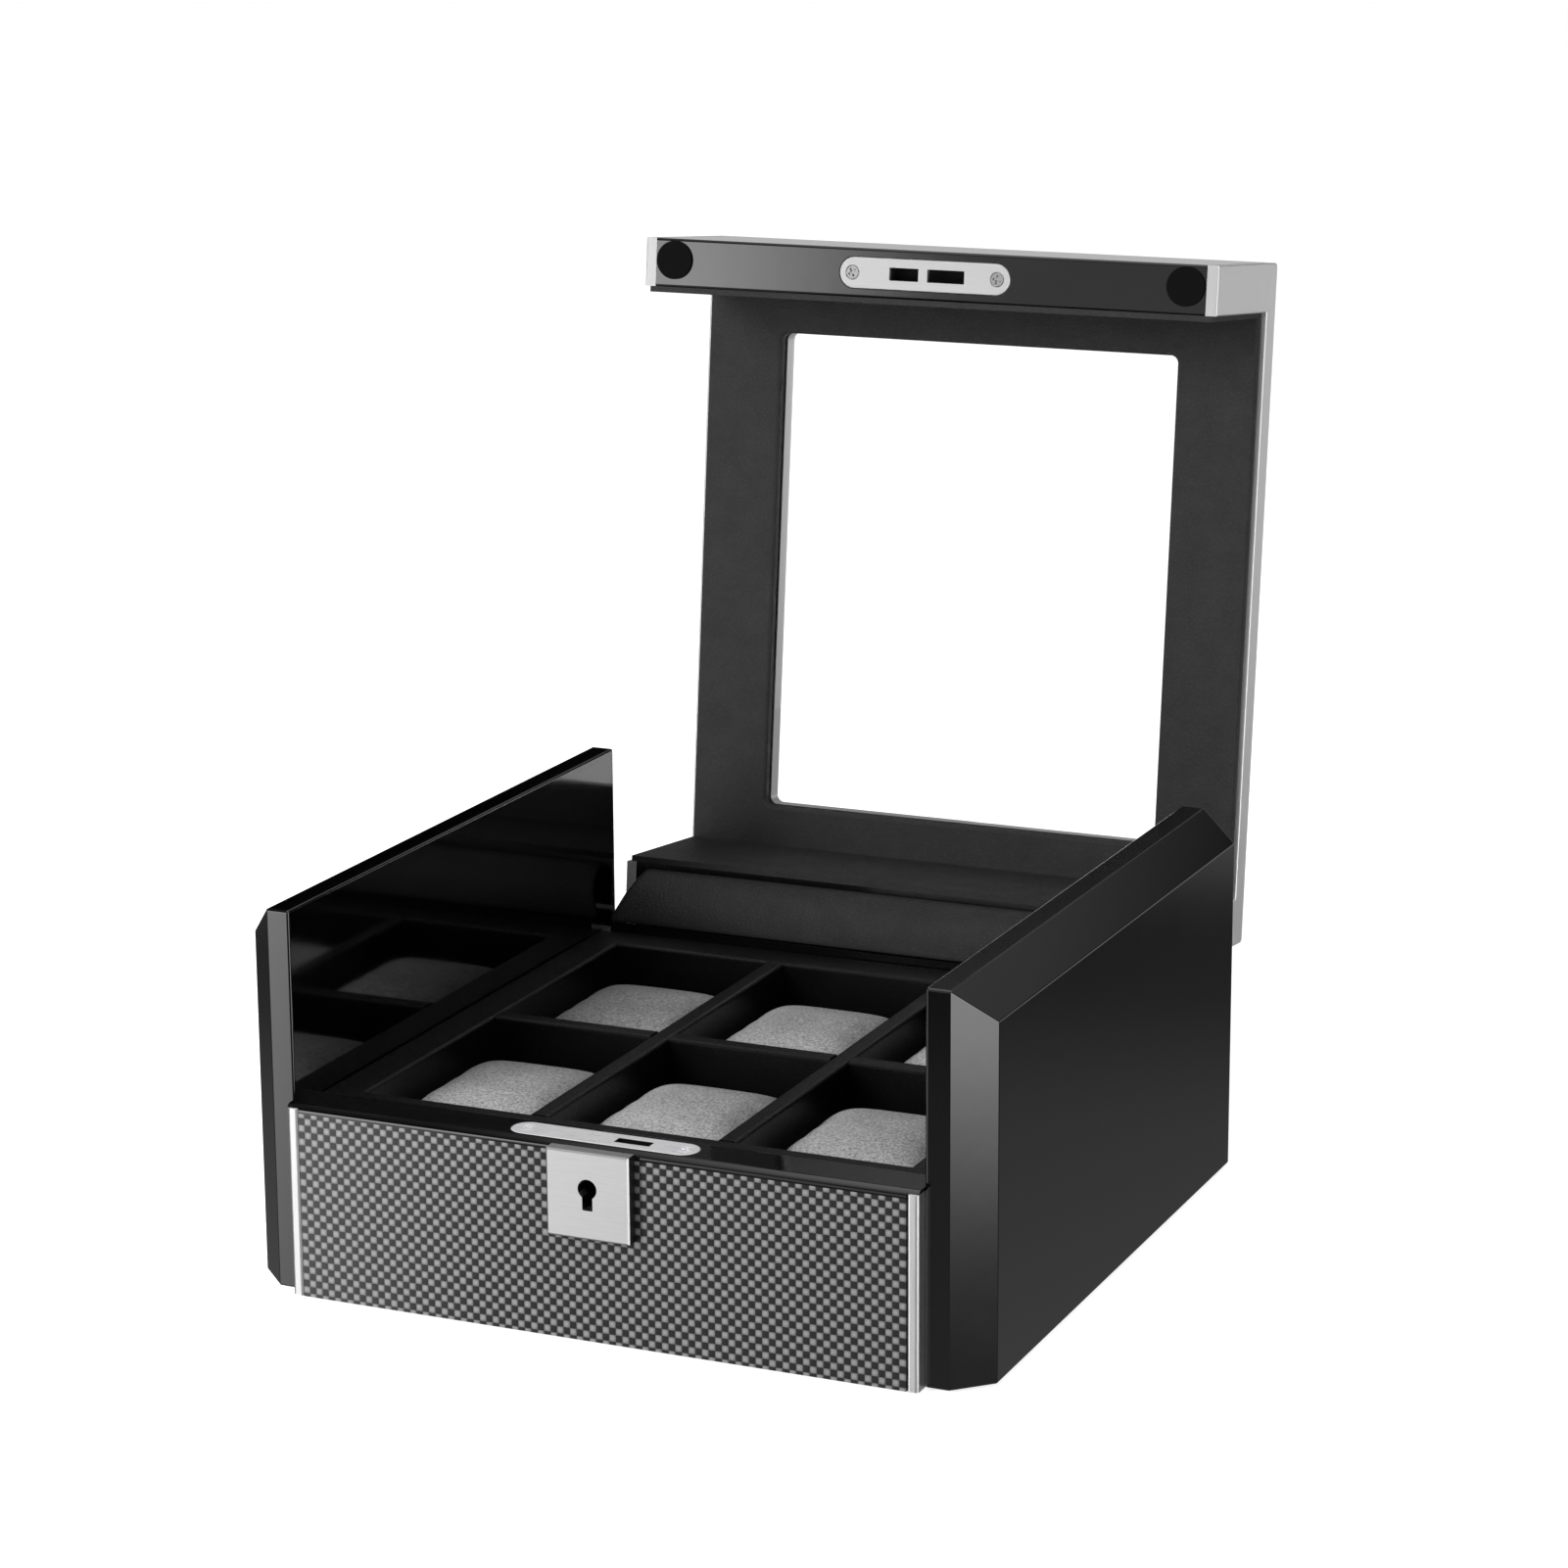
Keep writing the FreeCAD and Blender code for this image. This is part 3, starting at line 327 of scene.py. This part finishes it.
def carbon_finish(name, turn):
    """Weave in the skin's own plane; turn brings that plane upright and facing the front."""
    material, tree, shader, place = new_finish(name, {
        "Roughness": 0.35, "Specular IOR Level": 0.2,
        "Coat Weight": 1.0, "Coat Roughness": 0.08, "Coat IOR": 1.5,
    })
    turned = put(tree, "Mapping", {"Vector": place, "Rotation": (turn, 0, 0)}).outputs[0]
    pitch = (1 / tow, 0, 1 / tow)
    weave = put(tree, "VectorMath", {0: turned, 1: pitch}, operation="MULTIPLY").outputs[0]
    parity = put(tree, "TexChecker", {"Vector": weave, "Scale": 1.0}).outputs["Fac"]
    across = put(tree, "SeparateXYZ", {0: weave}).outputs
    humps = []
    for axis in ("X", "Z"):
        wave = put(tree, "Math", {0: across[axis], 1: math.pi}, operation="MULTIPLY").outputs[0]
        wave = put(tree, "Math", {0: wave}, operation="SINE").outputs[0]
        humps.append(put(tree, "Math", {0: wave}, operation="ABSOLUTE").outputs[0])
    both = put(tree, "Math", {0: humps[0], 1: humps[1]}, operation="MULTIPLY").outputs[0]
    both = put(tree, "Math", {0: both, 1: 0.5}, operation="POWER").outputs[0]
    strands = put(tree, "VectorMath", {0: weave, 1: (9, 1, 0.6)}, operation="MULTIPLY").outputs[0]
    fine = put(tree, "TexNoise", {"Vector": strands, "Scale": 1.0, "Detail": 2.0}).outputs[0]
    # Painted highlight across each tow's middle, mixed with fine fibre lines.
    painted_highlight_and_fibres = put(tree, "Math", {0: both, 1: 0.75}, operation="MULTIPLY").outputs[0]
    painted_highlight_and_fibres = put(tree, "Math", {0: fine, 1: 0.3, 2: painted_highlight_and_fibres}, operation="MULTIPLY_ADD").outputs[0]
    # Painted light and shade: upright tows get the light colours, level tows the dark ones.
    shaded_level_tow, lit_upright_tow = (
        put(tree, "Mix", {0: painted_highlight_and_fibres, 6: linear(dark), 7: linear(light)}, data_type="RGBA").outputs[2]
        for dark, light in (("#1c1c1c", "#161616"), ("#303030", "#9f9f9f"))
    )
    cloth = put(tree, "Mix", {0: parity, 6: shaded_level_tow, 7: lit_upright_tow}, data_type="RGBA").outputs[2]
    tree.links.new(cloth, shader.inputs["Base Color"])
    glint = put(tree, "Math", {0: parity, 1: 0.6}, operation="MULTIPLY").outputs[0]
    tree.links.new(glint, shader.inputs["Metallic"])
    relief = put(tree, "Bump", {"Strength": 0.35, "Distance": 0.00015, "Height": both})
    tree.links.new(relief.outputs[0], shader.inputs["Normal"])
    return material


dress(carbon_finish("carbon weave in resin", 0), "front_carbon_skin")
dress(carbon_finish("carbon weave on the lid front", lid_angle), "lid_carbon_front")
dress(carbon_finish("carbon weave on the lid top", lid_angle + math.pi / 2), "lid_carbon_top")

# End strips, cheeks, bezel, escutcheon, strike plate: aluminium and brass, brushed, satin plated.
# Fine brush lines run along each piece and spread the highlights.


def metal_finish(name, colours, rough, grain, depth):
    """Bright metal with brush lines; grain gives their size along X, Y and Z in metres."""
    material, tree, shader, place = new_finish(name, {"Metallic": 1.0})
    pitch = [1 / length for length in grain]
    lines = put(tree, "VectorMath", {0: place, 1: pitch}, operation="MULTIPLY").outputs[0]
    brushed = put(
        tree, "TexNoise", {"Vector": lines, "Scale": 1.0, "Detail": 4.0, "Roughness": 0.6}
    ).outputs[0]
    dark, light = (linear(colour) for colour in colours)
    plated = put(tree, "Mix", {0: brushed, 6: dark, 7: light}, data_type="RGBA").outputs[2]
    tree.links.new(plated, shader.inputs["Base Color"])
    sheen = put(tree, "MapRange", {0: brushed, 1: 0.3, 2: 0.7, 3: rough[0], 4: rough[1]})
    tree.links.new(sheen.outputs[0], shader.inputs["Roughness"])
    scratches = put(tree, "Bump", {"Strength": depth, "Distance": 0.0001, "Height": brushed})
    tree.links.new(scratches.outputs[0], shader.inputs["Normal"])
    return material


def paint_shade(tree, where, colour):
    """Paints shade: lays a hex colour over the shader's own colour where an output is 1."""
    base = tree.nodes["Principled BSDF"].inputs["Base Color"]
    bright = base.links[0].from_socket
    mixed = put(tree, "Mix", {0: where, 6: bright, 7: linear(colour)}, data_type="RGBA")
    tree.links.new(mixed.outputs[2], base)


lines_up = (0.0004, 0.0004, 0.012)
lines_round = (0.0004, 0.012, 0.012)
lines_across = (0.010, 0.0004, 0.0004)
white_metal = ("#f6f6f6", "#ffffff")
satin = metal_finish("satin aluminium", white_metal, (0.31, 0.38), lines_up, 0.05)
dress(satin, "front_strip_left", "front_strip_right", "back_strip_left", "back_strip_right")
cheek_metal = metal_finish("satin lid cheeks", white_metal, (0.40, 0.48), lines_round, 0.04)
dress(cheek_metal, "lid_cheek_left", "lid_cheek_right")
plate_metal = metal_finish(
    "satin plated brass", ("#dcdcdc", "#f0f0f0"), (0.34, 0.42), lines_across, 0.05
)
dress(plate_metal, "window_bezel")
escutcheon_metal = plate_metal.copy()
escutcheon_metal.name = "satin escutcheon with painted shade on its sides"
tree = escutcheon_metal.node_tree
# Painted shade: the faces that look sideways along X are painted dark grey.
normal = put(tree, "NewGeometry").outputs["True Normal"]
sidelong = put(tree, "SeparateXYZ", {0: normal}).outputs["X"]
sidelong = put(tree, "Math", {0: sidelong}, operation="ABSOLUTE").outputs[0]
painted_side_shade = put(tree, "Math", {0: sidelong, 1: 0.9}, operation="GREATER_THAN").outputs[0]
paint_shade(tree, painted_side_shade, "#4a4a4a")
dress(escutcheon_metal, "escutcheon")
strike_metal = metal_finish(
    "satin strike plate", ("#f0f0f0", "#fcfcfc"), (0.40, 0.48), lines_across, 0.05
)
dress(strike_metal, "strike_plate")

# Lock and hinges: a chromed face plate screwed on the rail over a pressed steel case, a plated
# rotor and hook, and nickel plated butt hinges. The plate is pale satin with painted shade in its
# slot, and the steel below it is painted dark as shade.
chrome = metal_finish(
    "polished chrome", ("#ececee", "#fafafc"), (0.24, 0.40), (0.006, 0.0008, 0.0008), 0.02
)
tree = chrome.node_tree
mirror_share = 0.45  # satin chrome scatters light, so it is only partly a mirror
tree.nodes["Principled BSDF"].inputs["Metallic"].default_value = mirror_share
place = put(tree, "TexCoord").outputs["Object"]
slot_middle = Vector((0.00875, -0.0999, 0.0569))
slot_half = Vector((0.0054, 0.00185, 0.00077))
painted_slot_shade = within_box(tree, place, slot_middle, slot_half)  # painted shade: the hook's slot is painted near black
paint_shade(tree, painted_slot_shade, "#141414")
dress(chrome, "lock_face_plate")
# The case, rotor and hook are plated steel painted dark grey, as painted shade where they show deep
# in the slot and the keyhole.
lock_steel_painted_dark = metal_finish(
    "zinc plated steel painted dark as shade", ("#3c3c3a", "#5a5a58"), (0.35, 0.50), (0.002, 0.002, 0.002), 0.10
)
dress(lock_steel_painted_dark, "lock_case", "key_rotor", "hook_claw")
hinge_steel = metal_finish(
    "nickel plated steel", ("#b8b8b4", "#d8d8d4"), (0.20, 0.32), (0.008, 0.0006, 0.0006), 0.06
)
for side in ("left", "right"):
    dress(hinge_steel, "hinge_case_leaf_" + side, "hinge_lid_leaf_" + side, "hinge_pin_" + side)

# Screws: countersunk steel, plated like the plates and hinges that they hold, and driven flush.
# The cross recess gives each head a dark cross, and its rounded rim a fine bright ring.
screw_steel = metal_finish(
    "plated screw steel", ("#a0a0a0", "#c0c0c0"), (0.20, 0.32), (0.001, 0.001, 0.001), 0.06
)
shank_radius, screw_length = 0.0011, 0.0080
plate_head, leaf_head = (0.0023, 0.0008), (0.0019, 0.0006)  # radius and height
rim_share, wing_share, arm_share = 0.12, 0.17, 0.62  # of the head's radius
recess_share = 0.7  # of the head's height
first_turn, next_turn = 0.5, 0.9
flush = 1e-7
plate_places = [(x, -0.0999) for x in (-0.024, 0.024)]
leaf_places = [(x, 0.0994) for x in (-0.069, -0.051, 0.051, 0.069)]
case_seat = ("case", 0.0577, Matrix.Identity(4), Matrix.Identity(4))
lid_seat = ("lid", 0.0587, opened, Matrix.Rotation(math.pi, 4, "X"))
for node, seat, places, head, finish, slot in (
    ("lock_face_screws", case_seat, plate_places, plate_head, chrome, "polished_metal"),
    ("strike_screws", lid_seat, plate_places, plate_head, screw_steel, "polished_metal"),
    ("hinge_case_screws", case_seat, leaf_places, leaf_head, hinge_steel, "hinge_steel"),
    ("hinge_lid_screws", lid_seat, leaf_places, leaf_head, hinge_steel, "hinge_steel"),
):
    body, seat_height, swing, head_turn = seat
    radius, height = head
    whole = bmesh.new()
    wing, arm = radius * wing_share, radius * arm_share
    for number, (x, y) in enumerate(places):
        bm = bmesh.new()
        bmesh.ops.create_cone(
            bm, cap_ends=True, segments=32, radius1=radius, radius2=radius, depth=height,
            matrix=Matrix.Translation((0, 0, -height / 2)),
        )
        rim = [edge for edge in bm.edges if all(abs(v.co.z) < flush for v in edge.verts)]
        bmesh.ops.bevel(
            bm, geom=rim, offset=radius * rim_share, offset_type="OFFSET", segments=2,
            profile=0.5, affect="EDGES", material=-1,
        )
        for axis in ((1, 0, 0), (0, 1, 0)):
            for offset in (-arm, -wing, wing, arm):
                parts = bm.verts[:] + bm.edges[:] + bm.faces[:]
                cut = Vector(axis) * offset
                bmesh.ops.bisect_plane(bm, geom=parts, plane_co=cut, plane_no=axis)
        cross = []
        for face in bm.faces:
            spot = face.calc_center_median()
            near, far = sorted((abs(spot.x), abs(spot.y)))
            if abs(spot.z) < flush and near < wing and far < arm:
                cross.append(face)
        sunk = bmesh.ops.extrude_face_region(bm, geom=cross)["geom"]
        bmesh.ops.delete(bm, geom=cross, context="FACES_ONLY")
        sunk = [v for v in sunk if isinstance(v, bmesh.types.BMVert)]
        bmesh.ops.translate(bm, verts=sunk, vec=(0, 0, -height * recess_share))
        bmesh.ops.create_cone(
            bm, cap_ends=True, segments=20, radius1=shank_radius * 0.5, radius2=shank_radius,
            depth=screw_length - height,
            matrix=Matrix.Translation((0, 0, -(screw_length + height) / 2)),
        )
        driven = Matrix.Rotation(first_turn + next_turn * number, 3, "Z")
        bmesh.ops.rotate(bm, verts=bm.verts, matrix=driven)
        seated = swing @ Matrix.Translation((x, y, seat_height)) @ head_turn
        bmesh.ops.transform(bm, verts=bm.verts, matrix=seated)
        screw = bpy.data.meshes.new("screw")
        bm.to_mesh(screw)
        bm.free()
        whole.from_mesh(screw)
        bpy.data.meshes.remove(screw)
    bmesh.ops.recalc_face_normals(whole, faces=whole.faces)
    screws = show(node + "_crossed", whole, finish, smooth=False)
    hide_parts(node)
    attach(screws, body)

# Tray frame, dividers and lid linings: board wrapped in black polyurethane leather, glued round the
# edges. Its pressed grain is small and even, with a soft sheen.


def leather_finish(name, colours, rough, grain, depth):
    """Pressed grain of the given width in metres, with soft cloudy shading."""
    material, tree, shader, place = new_finish(name, {"Specular IOR Level": 0.35})
    cells = put(
        tree, "TexVoronoi", {"Vector": place, "Scale": 1 / grain}, feature="DISTANCE_TO_EDGE"
    ).outputs[0]
    pebble = put(
        tree, "MapRange", {0: cells, 1: 0.0, 2: 0.32}, interpolation_type="SMOOTHSTEP"
    ).outputs[0]
    cloud = put(
        tree, "TexNoise", {"Vector": place, "Scale": 1 / 0.009, "Detail": 6.0, "Roughness": 0.65}
    ).outputs[0]
    tone = put(tree, "Math", {0: pebble, 1: 0.25}, operation="MULTIPLY").outputs[0]
    tone = put(tree, "Math", {0: cloud, 1: 0.75, 2: tone}, operation="MULTIPLY_ADD").outputs[0]
    dark, light = (linear(colour) for colour in colours)
    dyed = put(tree, "Mix", {0: tone, 6: dark, 7: light}, data_type="RGBA").outputs[2]
    tree.links.new(dyed, shader.inputs["Base Color"])
    sheen = put(tree, "MapRange", {0: tone, 1: 0.2, 2: 0.8, 3: rough[1], 4: rough[0]})
    tree.links.new(sheen.outputs[0], shader.inputs["Roughness"])
    pressed = put(tree, "Bump", {"Strength": depth, "Distance": 0.0002, "Height": pebble})
    tree.links.new(pressed.outputs[0], shader.inputs["Normal"])
    return material


# The tray's copy of the leather is painted far darker than the linings', as painted shade inside
# the tray.
tray_leather_painted_darker = leather_finish(
    "black leather, tray copy painted darker as shade", ("#040404", "#0a0a0a"), (0.28, 0.40), 0.0011, 0.25
)
dress(tray_leather_painted_darker, "tray_frame", "divider_left", "divider_right", "divider_cross")
lining_leather = leather_finish(
    "black lining leather", ("#1e1e1e", "#2e2e2e"), (0.52, 0.66), 0.0012, 0.30
)
dress(lining_leather, "lid_lining_top", "lid_lining_front", "lid_lining_rear")

# Cushions: foam pillows in grey suede cloth, each lying loose in its place. The nap is short and
# dull, with a fine salt-and-pepper fleck.
suede, tree, shader, place = new_finish("grey suede cloth", {
    "Roughness": 0.95, "Specular IOR Level": 0.1, "Sheen Weight": 0.02, "Sheen Roughness": 0.5,
})
fleck = put(
    tree, "TexNoise", {"Vector": place, "Scale": 1 / 0.0008, "Detail": 2.0, "Roughness": 0.6}
).outputs[0]
stroke = put(tree, "TexNoise", {"Vector": place, "Scale": 1 / 0.014, "Detail": 2.0}).outputs[0]
tone = put(tree, "Math", {0: stroke, 1: 0.15}, operation="MULTIPLY").outputs[0]
tone = put(tree, "Math", {0: fleck, 1: 0.85, 2: tone}, operation="MULTIPLY_ADD").outputs[0]
contrast = put(tree, "MapRange", {0: tone, 1: 0.26, 2: 0.74}).outputs[0]
dyed = put(
    tree, "Mix", {0: contrast, 6: linear("#606060"), 7: linear("#b2b2b2")}, data_type="RGBA"
).outputs[2]
tree.links.new(dyed, shader.inputs["Base Color"])
nap = put(tree, "Bump", {"Strength": 0.5, "Distance": 0.0003, "Height": fleck})
tree.links.new(nap.outputs[0], shader.inputs["Normal"])
blown_up = 10  # cloth is solved at furniture size, ten times the pillow's own
pressure, frames = 4, 20


def apply_modifiers(piece):
    """Makes the form that an object's modifiers give its own mesh."""
    solved = piece.evaluated_get(bpy.context.evaluated_depsgraph_get())
    piece.data = bpy.data.meshes.new_from_object(solved)
    piece.modifiers.clear()


def stuffed(bm, voxel, most):
    """Swells a closed form like a stuffed cover; no point moves further than about most."""
    bmesh.ops.scale(bm, verts=bm.verts, vec=(blown_up,) * 3)
    pillow = show("pillow_form", bm)
    even = pillow.modifiers.new("even faces", "REMESH")
    even.mode = "VOXEL"
    even.voxel_size = voxel * blown_up
    apply_modifiers(pillow)
    sewn = [point.co.copy() for point in pillow.data.vertices]
    cloth = pillow.modifiers.new("stuffing", "CLOTH")
    cloth.settings.use_pressure = True
    cloth.settings.uniform_pressure_force = pressure
    cloth.settings.effector_weights.gravity = 0
    for number in range(1, frames + 1):
        bpy.context.scene.frame_set(number)
    apply_modifiers(pillow)
    bpy.context.scene.frame_set(1)
    limit = most * blown_up
    for point, start in zip(pillow.data.vertices, sewn):
        move = point.co - start
        if move.length > 0:
            point.co = start + move.normalized() * limit * math.tanh(move.length / limit)
    bm = bmesh.new()
    bm.from_mesh(pillow.data)
    bpy.data.objects.remove(pillow)
    bmesh.ops.scale(bm, verts=bm.verts, vec=(1 / blown_up,) * 3)
    return bm


pillow_half = 0.0238  # half the pillow's length before it is stuffed
pillow_depth, pillow_height = 0.0690, 0.0396
squareness = 2.85  # exponent of the pillow's superellipse section; 2 is an ellipse
end_round = 0.0060
cover_voxel, most_swell = 0.0025, 0.0018
smoothings = 3
seam_place = pillow_half - 0.0030  # sewn seam of each end panel, from the pillow's middle
seam_groove = 0.0005
tray_gap = 0.0001
for row, turn in (("front", 0), ("rear", math.pi)):
    for column, lean in (("left", 0.6), ("middle", -0.4), ("right", 0.3)):
        node = f"cushion_{row}_{column}"
        low, high = (Vector(corner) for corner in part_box(node))
        bm = bmesh.new()
        bmesh.ops.create_cone(
            bm, cap_ends=True, segments=48, radius1=1, radius2=1, depth=2 * pillow_half,
            matrix=Matrix.Rotation(math.pi / 2, 4, "Y"),
        )
        for point in bm.verts:
            across, above = (
                math.copysign(abs(part) ** (2 / squareness), part) for part in point.co.yz
            )
            point.co.y, point.co.z = across * pillow_depth / 2, above * pillow_height / 2
        ends = [
            edge for edge in bm.edges
            if abs(edge.verts[0].co.x - edge.verts[1].co.x) < pillow_half
        ]
        bmesh.ops.bevel(
            bm, geom=ends, offset=end_round, offset_type="OFFSET", segments=4,
            profile=0.5, affect="EDGES", material=-1,
        )
        bm = stuffed(bm, cover_voxel, most_swell)
        for _ in range(smoothings):
            bmesh.ops.smooth_vert(
                bm, verts=bm.verts, factor=0.5,
                use_axis_x=True, use_axis_y=True, use_axis_z=True,
            )
        for side in (-1, 1):
            for offset in (-seam_groove, 0, seam_groove):
                whole = bm.verts[:] + bm.edges[:] + bm.faces[:]
                seam = Vector((side * seam_place + offset, 0, 0))
                bmesh.ops.bisect_plane(bm, geom=whole, plane_co=seam, plane_no=(1, 0, 0))
            for point in bm.verts:
                if abs(point.co.x - side * seam_place) < seam_groove / 5:
                    inward = Vector((0, point.co.y, point.co.z)).normalized()
                    point.co -= inward * seam_groove
        laid = Matrix.Rotation(turn + math.radians(lean), 3, "Z")
        bmesh.ops.rotate(bm, verts=bm.verts, matrix=laid)
        middle = (low + high) / 2
        rest = (middle.x, middle.y, low.z + pillow_height / 2 + tray_gap)
        bmesh.ops.translate(bm, verts=bm.verts, vec=rest)
        for point in bm.verts:
            point.co.z = max(point.co.z, low.z)
        bmesh.ops.recalc_face_normals(bm, faces=bm.faces)
        pillow = show(node + "_pillow", bm, suede)
        rounding = pillow.modifiers.new("soft faces", "SUBSURF")
        rounding.levels = rounding.render_levels = 1
        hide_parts(node)
        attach(pillow, node)

# Hinge cover: a strip of the same leather glued to the back panel and to the lid's rear lip, left
# slack between them. It bulges and creases softly, so its sheen wanders from end to end.
cover_leather = leather_finish(
    "hinge cover leather", ("#1a1a1a", "#2c2c2c"), (0.40, 0.54), 0.0012, 0.30
)
foot = Vector((0, 0.0943, 0.0577))
lip = opened @ Vector((0, 0.0943, 0.0587))
bulge, cover_wall = 0.0034, 0.0011
foot_half, lip_half = 0.0940, 0.0875
slack_depth = 0.0007
creases_along, creases_up, crease_start = 32, 1.6, 4
chord = lip - foot
outward = Vector((0, -chord.z, chord.y)).normalized()
radius = (chord.length_squared / 4 + bulge * bulge) / (2 * bulge)
sweep = 2 * math.asin(chord.length / 2 / radius)
centre = (lip + foot) / 2 + outward * (bulge - radius)
bm = bmesh.new()
start = bm.verts.new(foot)
bmesh.ops.spin(bm, geom=[start], cent=centre, axis=(1, 0, 0), angle=-sweep, steps=12)
bmesh.ops.translate(bm, verts=bm.verts, vec=(-1, 0, 0))
across = bmesh.ops.extrude_edge_only(bm, edges=bm.edges[:])["geom"]
far_end = [v for v in across if isinstance(v, bmesh.types.BMVert)]
bmesh.ops.translate(bm, verts=far_end, vec=(2, 0, 0))
lengthwise = [edge for edge in bm.edges if abs(edge.verts[0].co.x - edge.verts[1].co.x) > 1]
bmesh.ops.subdivide_edges(bm, edges=lengthwise, cuts=47, use_grid_fill=True)
for point in bm.verts:
    rise = (point.co.z - foot.z) / (lip.z - foot.z)
    point.co.x *= foot_half + (lip_half - foot_half) * rise
    crease = noise.noise(Vector((point.co.x * creases_along, rise * creases_up, crease_start)))
    slack = math.sin(math.pi * min(max(rise, 0), 1)) * crease
    point.co += outward * slack_depth * slack
bmesh.ops.recalc_face_normals(bm, faces=bm.faces)
cover = show("hinge_cover_leather", bm, cover_leather)
wall = cover.modifiers.new("leather thickness", "SOLIDIFY")
wall.thickness = cover_wall
wall.offset = 0
rounding = cover.modifiers.new("soft faces", "SUBSURF")
rounding.levels = rounding.render_levels = 1
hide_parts("hinge_cover")
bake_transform(cover)

# Window: clear float glass, cut square and bedded in the lid's top board. Both faces are flat and
# polished, so it gives a clear view through and a faint mirror image.
glass = new_finish("clear float glass", {
    "Base Color": linear("#ffffff"), "Transmission Weight": 1.0, "Roughness": 0.0, "IOR": 1.5,
})[0]
dress(glass, "window_glass")

# Rubber pads: black self-adhesive discs on the front lip that soften the lid's landing.
# The rubber is matt, with a fine grit and hardly a highlight.
rubber, tree, shader, place = new_finish("black rubber", {"Specular IOR Level": 0.15})
grit = put(tree, "TexNoise", {"Vector": place, "Scale": 1 / 0.0008, "Detail": 4.0}).outputs[0]
soot = put(
    tree, "Mix", {0: grit, 6: linear("#040404"), 7: linear("#0b0b0b")}, data_type="RGBA"
).outputs[2]
tree.links.new(soot, shader.inputs["Base Color"])
worn = put(tree, "MapRange", {0: grit, 3: 0.65, 4: 0.85})
tree.links.new(worn.outputs[0], shader.inputs["Roughness"])
dress(rubber, "bumper_pad_left", "bumper_pad_right")
